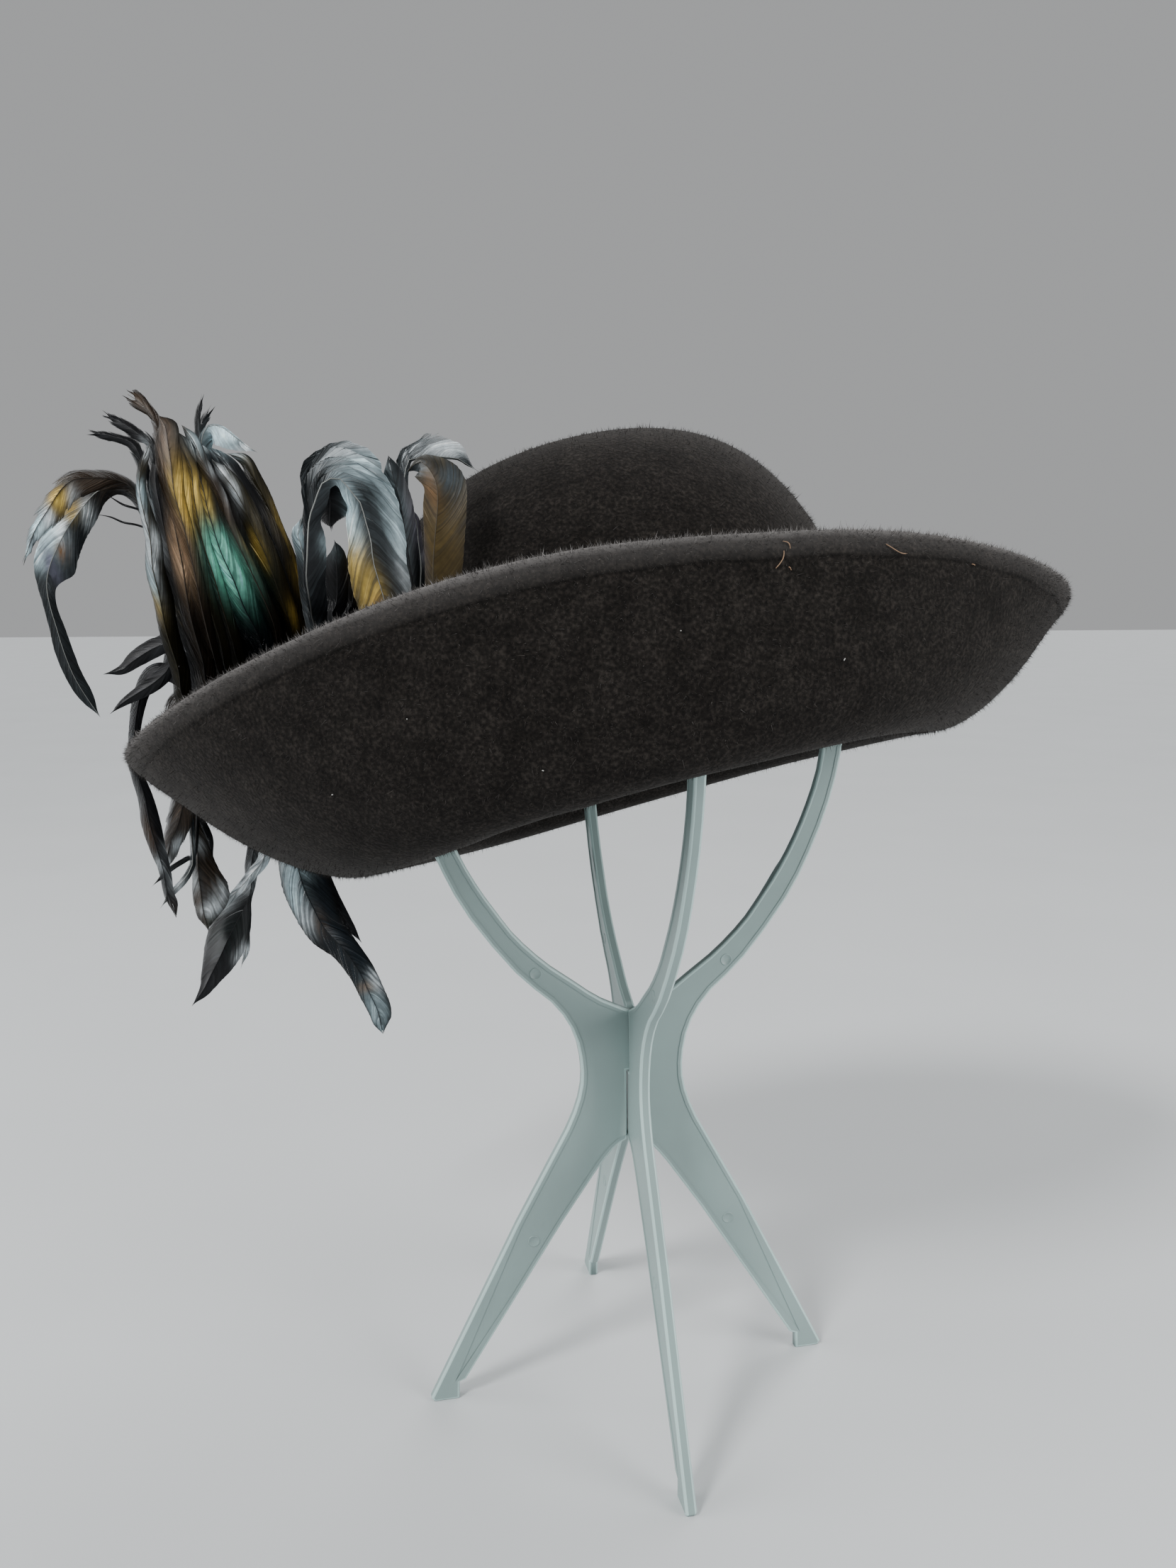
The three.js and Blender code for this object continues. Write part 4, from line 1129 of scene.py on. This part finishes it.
def shaft_arrays(track, feather):
    """The shaft: a fine tapering tube, pale from the middle to the tip."""
    rings = np.linspace(0, track.length, max(10, int(track.length / SHAFT_RING_GAP)))
    turn = np.arange(SHAFT_SIDES) * 2 * math.pi / SHAFT_SIDES
    radius = SHAFT_RADIUS * np.interp(rings / track.length, [0, 0.6, 1], [1, 0.6, 0.25])
    side = track.read(track.side, rings)[:, None] * np.cos(turn)[None, :, None]
    face = track.read(track.face, rings)[:, None] * np.sin(turn)[None, :, None]
    points = track.at(rings)[:, None] + (side + face) * radius[:, None, None]
    points += track.read(track.face, rings)[:, None] * SHAFT_LIFT
    grid = np.arange(len(rings) * SHAFT_SIDES).reshape(len(rings), SHAFT_SIDES)
    after = np.roll(grid, -1, 1)
    quads = np.stack([grid[:-1], after[:-1], after[1:], grid[1:]], -1).reshape(-1, 4)
    shine = "horn" if feather.colour == "slate" else feather.colour
    pale = np.interp(rings / track.length, [0.4, 0.52], [0.12, 1.2]).repeat(SHAFT_SIDES)
    return points.reshape(-1, 3), quads, pale[:, None] * np.array(FEATHER_COLOURS[shine])


def filler(fill):
    """A darker feather behind the bunch, its shaft between those of two of the front ones."""
    first, last = BUNCH[fill.first], BUNCH[fill.last]
    start = smooth_path(first.rows)[0]
    end = smooth_path(last.rows)[0]
    along = np.linspace(0, 1, 12)
    rows = []
    for rows_of, share in ((start, 1 - fill.mix), (end, fill.mix)):
        places = np.linspace(0, 1, len(rows_of))
        rows.append(share * np.stack([np.interp(along, places, c) for c in rows_of.T], -1))
    rows = rows[0] + rows[1]
    rows[:, 1] += fill.behind * np.sin(along * math.pi * 0.6)
    rows[:, 3:] = rows[:, 3:] * 0.9 + 0.8
    return Feather("black", 2.4, 0.2, (fill.turn, fill.turn), rows)


def build_feathers(name, feathers, glints, node, look, seed):
    random = np.random.default_rng(seed)
    points, faces, colours, offset = [], [], [], 0
    for feather in feathers:
        for block in vane_arrays(feather, glints, random, look.strand_gap / MM):
            points.append(block[0])
            faces.append(block[1] + offset)
            colours.append(block[2])
            offset += len(block[0])
    mesh = joined_mesh(
        name, in_row_frame(np.vstack(points)), np.vstack(faces), np.vstack(colours),
    )
    piece = show(name, mesh, feather_material(name, look.roughness, look.metallic))
    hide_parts(node)


# Stand

STAND_TURN = math.radians(12.45)
WEB_FACE = 1.68 * MM
SHALLOWEST_WALL = 2 * MM

# Each mark's reach from the stand's axis and its height, then a mark's radius and its section
EJECTOR_MARKS = [(37 * MM, 167 * MM), (39 * MM, 61 * MM)]
MARK_RADIUS = 2.35 * MM
MARK_SECTION = [
    (0.12 * MM, 0.2 * MM),
    (0.4 * MM, 0.2 * MM),
    (0.52 * MM, 0.05 * MM),
    (2.2 * MM, 0.05 * MM),
]


def outline_edges(work):
    """Edges between a plate's flat faces and the walls that run round its outline."""
    across = (
        Vector((-math.sin(STAND_TURN), math.cos(STAND_TURN), 0)),
        Vector((math.cos(STAND_TURN), math.sin(STAND_TURN), 0)),
    )
    axis = max(across, key=lambda way: sum(
        face.calc_area() for face in work.faces if abs(face.normal.dot(way)) > 0.99))
    found = []
    for edge in work.edges:
        sides = [abs(face.normal.dot(axis)) for face in edge.link_faces]
        if len(sides) != 2 or min(sides) > 0.2 or max(sides) < 0.9:
            continue
        wall = edge.link_faces[sides.index(min(sides))]
        depths = [vert.co.dot(axis) for vert in wall.verts]
        if max(depths) - min(depths) > SHALLOWEST_WALL and edge.is_convex:
            found.append(edge)
    return found


def moulded_plate(node, width):
    """A plate's solid with the edges of its outline rounded over, as a mould leaves them."""
    work = bmesh.new()
    work.from_mesh(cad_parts[node].data)
    bmesh.ops.remove_doubles(work, verts=work.verts, dist=0.01 * MM)
    bmesh.ops.dissolve_limit(
        work, angle_limit=math.radians(1), verts=work.verts, edges=work.edges,
    )
    # The rounded edge faces take the plate's second material, a painted highlight
    bmesh.ops.bevel(
        work, geom=outline_edges(work), offset=width, offset_type="OFFSET", segments=3,
        profile=0.5, affect="EDGES", clamp_overlap=False, material=1,
    )
    mesh = bpy.data.meshes.new(node + "_moulded")
    work.to_mesh(mesh)
    work.free()
    mesh.shade_smooth()
    return modified(mesh, "WEIGHTED_NORMAL", keep_sharp=True)


def ejector_mark(place):
    """A low round ring left by an ejector pin."""
    work = bmesh.new()
    bmesh.ops.create_circle(work, cap_ends=False, segments=32, radius=MARK_RADIUS)
    rings = [list(work.edges)]
    for inwards, height in MARK_SECTION:
        made = bmesh.ops.extrude_edge_only(work, edges=rings[-1])["geom"]
        verts = [item for item in made if isinstance(item, bmesh.types.BMVert)]
        for vert in verts:
            flat = vert.co.xy.normalized() * (MARK_RADIUS - inwards)
            vert.co = (flat.x, flat.y, height)
        rings.append([item for item in made if isinstance(item, bmesh.types.BMEdge)])
    bmesh.ops.edgeloop_fill(work, edges=rings[-1])
    bmesh.ops.recalc_face_normals(work, faces=work.faces)
    bmesh.ops.transform(work, matrix=place, verts=work.verts)
    mesh = bpy.data.meshes.new("ejector_mark")
    work.to_mesh(mesh)
    work.free()
    return mesh


def ejector_mark_mesh():
    """The marks on the faces of both plates that look forwards, on each leg and arm."""
    work = bmesh.new()
    for plate_turn, face_side in ((STAND_TURN, -1), (STAND_TURN + math.pi / 2, 1)):
        for hand in (1, -1):
            for reach, height in EJECTOR_MARKS:
                place = (
                    Matrix.Translation(STAND_AXIS)
                    @ Matrix.Rotation(plate_turn, 4, "Z")
                    @ Matrix.Translation((hand * reach, face_side * WEB_FACE, height))
                    @ Matrix.Rotation(math.radians(-90 * face_side), 4, "X")
                )
                mark = ejector_mark(place)
                work.from_mesh(mark)
                bpy.data.meshes.remove(mark)
    mesh = bpy.data.meshes.new("ejector_marks")
    work.to_mesh(mesh)
    work.free()
    return mesh


# Trimmings


class Wisp(NamedTuple):
    """A loose thread end: where the photograph shows its two ends, and its sideways bow."""

    start: tuple
    end: tuple
    bow: float


THREADS = [
    Wisp((1094, 802), (1104, 764), 4),
    Wisp((1104, 764), (1115, 780), -3),
    Wisp((1249, 768), (1283, 780), 4),
    Wisp((1112, 800), (1118, 804), 1),
    Wisp((1370, 796), (1376, 797), 1),
]
LINT = [(575, 1014), (766, 1086), (1190, 930), (960, 890), (470, 1120)]
THREAD_RADIUS = 0.15 * MM
THREAD_SIDES = 5
THREAD_STEPS = 8
BOW_UNIT = 0.3 * MM
LINT_RADIUS = 0.2 * MM
LINT_LIFT = 0.5 * MM


def felt_trees():
    """Trees of the brim's and the crown's faces, to set small things down on."""
    trees = []
    for name in ("brim_felt", "crown_felt"):
        mesh = bpy.data.objects[name].data
        points = [vert.co.copy() for vert in mesh.vertices]
        trees.append(BVHTree.FromPolygons(points, [tuple(p.vertices) for p in mesh.polygons]))
    return trees


def on_felt(trees, pixel):
    """The nearest felt along the photograph's line of sight, with its normal."""
    ray = line_of_sight(*pixel).normalized()
    hits = [tree.ray_cast(CAMERA_PLACE, ray) for tree in trees]
    hits = [hit for hit in hits if hit[0] is not None]
    if not hits:
        raise RuntimeError(f"nothing of the felt lies at {pixel}")
    near = min(hits, key=lambda hit: hit[3])
    return near[0], near[1]


def thread_mesh(trees):
    """Loose tan thread ends lying on the felt."""
    work = bmesh.new()
    for wisp in THREADS:
        (start, normal), (end, _) = on_felt(trees, wisp.start), on_felt(trees, wisp.end)
        sideways = (end - start).cross(normal).normalized() * wisp.bow * BOW_UNIT
        turn = (end - start).to_track_quat("Z", "Y").to_matrix().to_4x4()
        ring = None
        for i in range(THREAD_STEPS + 1):
            along = i / THREAD_STEPS
            centre = start.lerp(end, along) + sideways * math.sin(along * math.pi)
            centre += normal * (0.3 + 0.5 * math.sin(along * 5)) * MM
            made = bmesh.ops.create_circle(
                work, cap_ends=i in (0, THREAD_STEPS), segments=THREAD_SIDES,
                radius=THREAD_RADIUS,
            )["verts"]
            bmesh.ops.transform(work, matrix=Matrix.Translation(centre) @ turn, verts=made)
            edges = list({e for v in made for e in v.link_edges if e.is_wire or e.is_boundary})
            if ring:
                bmesh.ops.bridge_loops(work, edges=ring + edges)
            ring = edges
    bmesh.ops.recalc_face_normals(work, faces=work.faces)
    mesh = bpy.data.meshes.new("loose_threads")
    work.to_mesh(mesh)
    work.free()
    return mesh


def lint_mesh(trees):
    """Pale specks of lint caught in the nap."""
    work = bmesh.new()
    for i, pixel in enumerate(LINT):
        place, normal = on_felt(trees, pixel)
        made = bmesh.ops.create_icosphere(work, subdivisions=1, radius=LINT_RADIUS)
        size = Matrix.Diagonal((1, 1 + 0.8 * (i % 3), 0.6, 1))
        turn = normal.to_track_quat("Z", "Y").to_matrix().to_4x4()
        spin = Matrix.Rotation(i * 1.3, 4, "Z")
        matrix = Matrix.Translation(place + normal * LINT_LIFT) @ turn @ spin @ size
        bmesh.ops.transform(work, matrix=matrix, verts=made["verts"])
    mesh = bpy.data.meshes.new("lint_specks")
    work.to_mesh(mesh)
    work.free()
    return mesh


# Stage

FLOOR_HALF = 12
LIT_MIDDLE = Vector((0, 0, 0.24))


def build_stage(look):
    work = bmesh.new()
    bmesh.ops.create_grid(work, x_segments=1, y_segments=1, size=FLOOR_HALF)
    mesh = bpy.data.meshes.new("floor")
    work.to_mesh(mesh)
    work.free()
    floor = bpy.data.objects.new("floor", mesh)
    bpy.context.scene.collection.objects.link(floor)
    mesh.materials.append(plain_material("pale_floor", tuple(look.floor_colour), 0.8))
    world = bpy.data.worlds.new("studio")
    world.use_nodes = True
    background = world.node_tree.nodes["Background"]
    background.inputs["Color"].default_value = (*look.wall_colour, 1)
    background.inputs["Strength"].default_value = look.wall_light
    bpy.context.scene.world = world
    for name, kind, place, spread, power in (
        ("key_light", "SUN", (-0.9, -1.0, 1.5), math.radians(14), look.key_power),
        ("rim_light", "SUN", (0.6, 1.2, 1.6), math.radians(40), look.key_power * 0.5),
        ("left_softbox", "AREA", (-1.1, -0.15, 0.75), 0.9, look.softbox_power),
        ("right_softbox", "AREA", (1.1, -0.6, 0.6), 0.7, look.softbox_power * 1.4),
    ):
        lamp = bpy.data.lights.new(name, kind)
        if kind == "SUN":
            lamp.angle = spread
        else:
            lamp.size = spread
        lamp.energy = power
        light = bpy.data.objects.new(name, lamp)
        light.location = place
        light.rotation_euler = (LIT_MIDDLE - light.location).to_track_quat("-Z", "Y").to_euler()
        bpy.context.scene.collection.objects.link(light)


def build_camera():
    level, upright, back = camera_axes()
    data = bpy.data.cameras.new("photo_view")
    data.sensor_fit = "VERTICAL"
    data.sensor_height = SENSOR_HIGH
    data.lens = SENSOR_HIGH * PHOTO_FOCAL / PHOTO_HIGH
    data.clip_start = 0.01
    data.clip_end = 100
    camera = bpy.data.objects.new("photo_view", data)
    camera.matrix_world = Matrix.Translation(CAMERA_PLACE) @ Matrix(
        (level, upright, back)
    ).transposed().to_4x4()
    bpy.context.scene.collection.objects.link(camera)
    bpy.context.scene.camera = camera


# Settings


class HatFeltSettings(bpy.types.PropertyGroup):
    colour: FloatVectorProperty(
        name="Felt colour", description="Colour of the felt", subtype="COLOR",
        default=(0.0108, 0.0092, 0.0080), min=0, max=1)
    fuzz_colour: FloatVectorProperty(
        name="Fuzz colour", description="Colour of the nap where light catches it",
        subtype="COLOR", default=(0.42, 0.40, 0.39), min=0, max=1)
    sheen: FloatProperty(
        name="Sheen", description="How strongly the nap catches light at a glance",
        default=0.12, min=0, max=1, subtype="FACTOR")
    nap_length: FloatProperty(
        name="Nap length", description="Mean length of the loose fibres",
        default=1.1 * MM, min=0, unit="LENGTH")
    crown_fibres: IntProperty(
        name="Crown fibres", description="Number of loose fibres on the crown", default=80000)
    brim_fibres: IntProperty(
        name="Brim fibres", description="Number of loose fibres on the brim", default=150000)


class HatFeatherSettings(bpy.types.PropertyGroup):
    strand_gap: FloatProperty(
        name="Strand gap", description="Distance between strands along a shaft",
        default=0.62 * MM, min=0.3 * MM, unit="LENGTH")
    roughness: FloatProperty(
        name="Roughness", description="Roughness of the vanes", default=0.42, subtype="FACTOR")
    metallic: FloatProperty(
        name="Iridescence", description="How far the sheen tints reflections",
        default=0.35, subtype="FACTOR")


class HatStandSettings(bpy.types.PropertyGroup):
    colour: FloatVectorProperty(
        name="Plastic colour", description="Colour of the stand", subtype="COLOR",
        default=(0.25, 0.335, 0.325), min=0, max=1)
    roughness: FloatProperty(
        name="Roughness", description="Roughness of the plastic", default=0.4, subtype="FACTOR")
    edge_round: FloatProperty(
        name="Edge rounding", description="Width of the rounded edges",
        default=0.9 * MM, min=0, unit="LENGTH")


class HatStageSettings(bpy.types.PropertyGroup):
    floor_colour: FloatVectorProperty(
        name="Floor colour", description="Colour of the floor", subtype="COLOR",
        default=(0.58, 0.60, 0.61), min=0, max=1)
    wall_colour: FloatVectorProperty(
        name="Surround colour", description="Colour of the light all round", subtype="COLOR",
        default=(0.84, 0.85, 0.86), min=0, max=1)
    wall_light: FloatProperty(
        name="Surround light", description="Strength of the light all round", default=0.46)
    key_power: FloatProperty(
        name="Key light", description="Strength of the main light", default=2.3)
    softbox_power: FloatProperty(
        name="Softboxes", description="Power of the side softboxes", default=9, unit="POWER")


# Operators


class HATSTAND_OT_crown(bpy.types.Operator):
    """Build the crown's felt and its nap"""

    bl_idname = "hatstand.crown"
    bl_label = "Crown"

    def execute(self, context):
        look = context.scene.hat_felt
        build_felt("crown", "crown_felt", look, look.crown_fibres, 11)
        return {"FINISHED"}


class HATSTAND_OT_brim(bpy.types.Operator):
    """Build the brim's felt and its nap"""

    bl_idname = "hatstand.brim"
    bl_label = "Brim"

    def execute(self, context):
        look = context.scene.hat_felt
        build_felt("brim", "brim_felt", look, look.brim_fibres, 12)
        show("headline_roll", headline_roll(), felt_material(look))
        return {"FINISHED"}


class HATSTAND_OT_bunch(bpy.types.Operator):
    """Build the tall bunch of feathers and those that droop over the brim"""

    bl_idname = "hatstand.bunch"
    bl_label = "Feather bunch"

    def execute(self, context):
        look = context.scene.hat_feathers
        bunch = BUNCH + [filler(fill) for fill in FILLERS]
        build_feathers(
            "bunch_feathers", bunch, BUNCH_GLINTS, "plume_bunch", look, 21)
        build_feathers(
            "drooping_feathers", DROOPING, DROOPING_GLINTS, "plume_bunch",
            look, 22)
        return {"FINISHED"}


class HATSTAND_OT_curls(bpy.types.Operator):
    """Build the curled feathers beside the crown"""

    bl_idname = "hatstand.curls"
    bl_label = "Curled feathers"

    def execute(self, context):
        build_feathers(
            "curled_feathers", CURLS, CURL_GLINTS, "plume_curls",
            context.scene.hat_feathers, 23)
        return {"FINISHED"}


class HATSTAND_OT_trimmings(bpy.types.Operator):
    """Lay loose threads and lint on the felt"""

    bl_idname = "hatstand.trimmings"
    bl_label = "Threads and lint"

    def execute(self, context):
        trees = felt_trees()
        tan = plain_material("tan_thread", (0.24, 0.15, 0.09), 0.8)
        show("loose_threads", thread_mesh(trees), tan)
        pale = plain_material("pale_lint", (0.40, 0.40, 0.38), 0.9)
        show("lint_specks", lint_mesh(trees), pale)
        return {"FINISHED"}


class HATSTAND_OT_stand(bpy.types.Operator):
    """Build the moulded plates of the stand"""

    bl_idname = "hatstand.stand"
    bl_label = "Stand"

    def execute(self, context):
        look = context.scene.hat_stand
        plastic = plastic_material("sage_plastic", look, 1)
        # Painted highlight: a paler copy of the plastic on the rounded edges, as if they caught the
        # light
        edge_plastic = plastic_material("painted_highlight_edge_plastic", look, 1.75)
        for node in ("stand_plate_a", "stand_plate_b"):
            plate = show(node + "_moulded", moulded_plate(node, look.edge_round), plastic)
            plate.data.materials.append(edge_plastic)
            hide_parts(node)
        show("ejector_marks", ejector_mark_mesh(), plastic)
        return {"FINISHED"}


class HATSTAND_OT_stage(bpy.types.Operator):
    """Set the floor, the lights and the camera"""

    bl_idname = "hatstand.stage"
    bl_label = "Stage"

    def execute(self, context):
        build_stage(context.scene.hat_stage)
        build_camera()
        return {"FINISHED"}


class HATSTAND_PT_parts(bpy.types.Panel):
    """Lists the parts that can be built"""

    bl_label = "Hat on a stand"
    bl_space_type = "VIEW_3D"
    bl_region_type = "UI"
    bl_category = "Hat"

    def draw(self, context):
        for operator in OPERATORS:
            self.layout.operator(operator.bl_idname)


OPERATORS = (
    HATSTAND_OT_crown,
    HATSTAND_OT_brim,
    HATSTAND_OT_bunch,
    HATSTAND_OT_curls,
    HATSTAND_OT_trimmings,
    HATSTAND_OT_stand,
    HATSTAND_OT_stage,
)
SETTINGS = {
    "hat_felt": HatFeltSettings,
    "hat_feathers": HatFeatherSettings,
    "hat_stand": HatStandSettings,
    "hat_stage": HatStageSettings,
}
CLASSES = (*SETTINGS.values(), *OPERATORS, HATSTAND_PT_parts)


def register():
    for item in CLASSES:
        bpy.utils.register_class(item)
    for name, group in SETTINGS.items():
        setattr(bpy.types.Scene, name, PointerProperty(type=group))


def unregister():
    for name in SETTINGS:
        delattr(bpy.types.Scene, name)
    for item in reversed(CLASSES):
        bpy.utils.unregister_class(item)


def main():
    register()
    bpy.ops.hatstand.crown()
    bpy.ops.hatstand.brim()
    bpy.ops.hatstand.bunch()
    bpy.ops.hatstand.curls()
    bpy.ops.hatstand.trimmings()
    bpy.ops.hatstand.stand()
    bpy.ops.hatstand.stage()


if __name__ == "__main__":
    main()
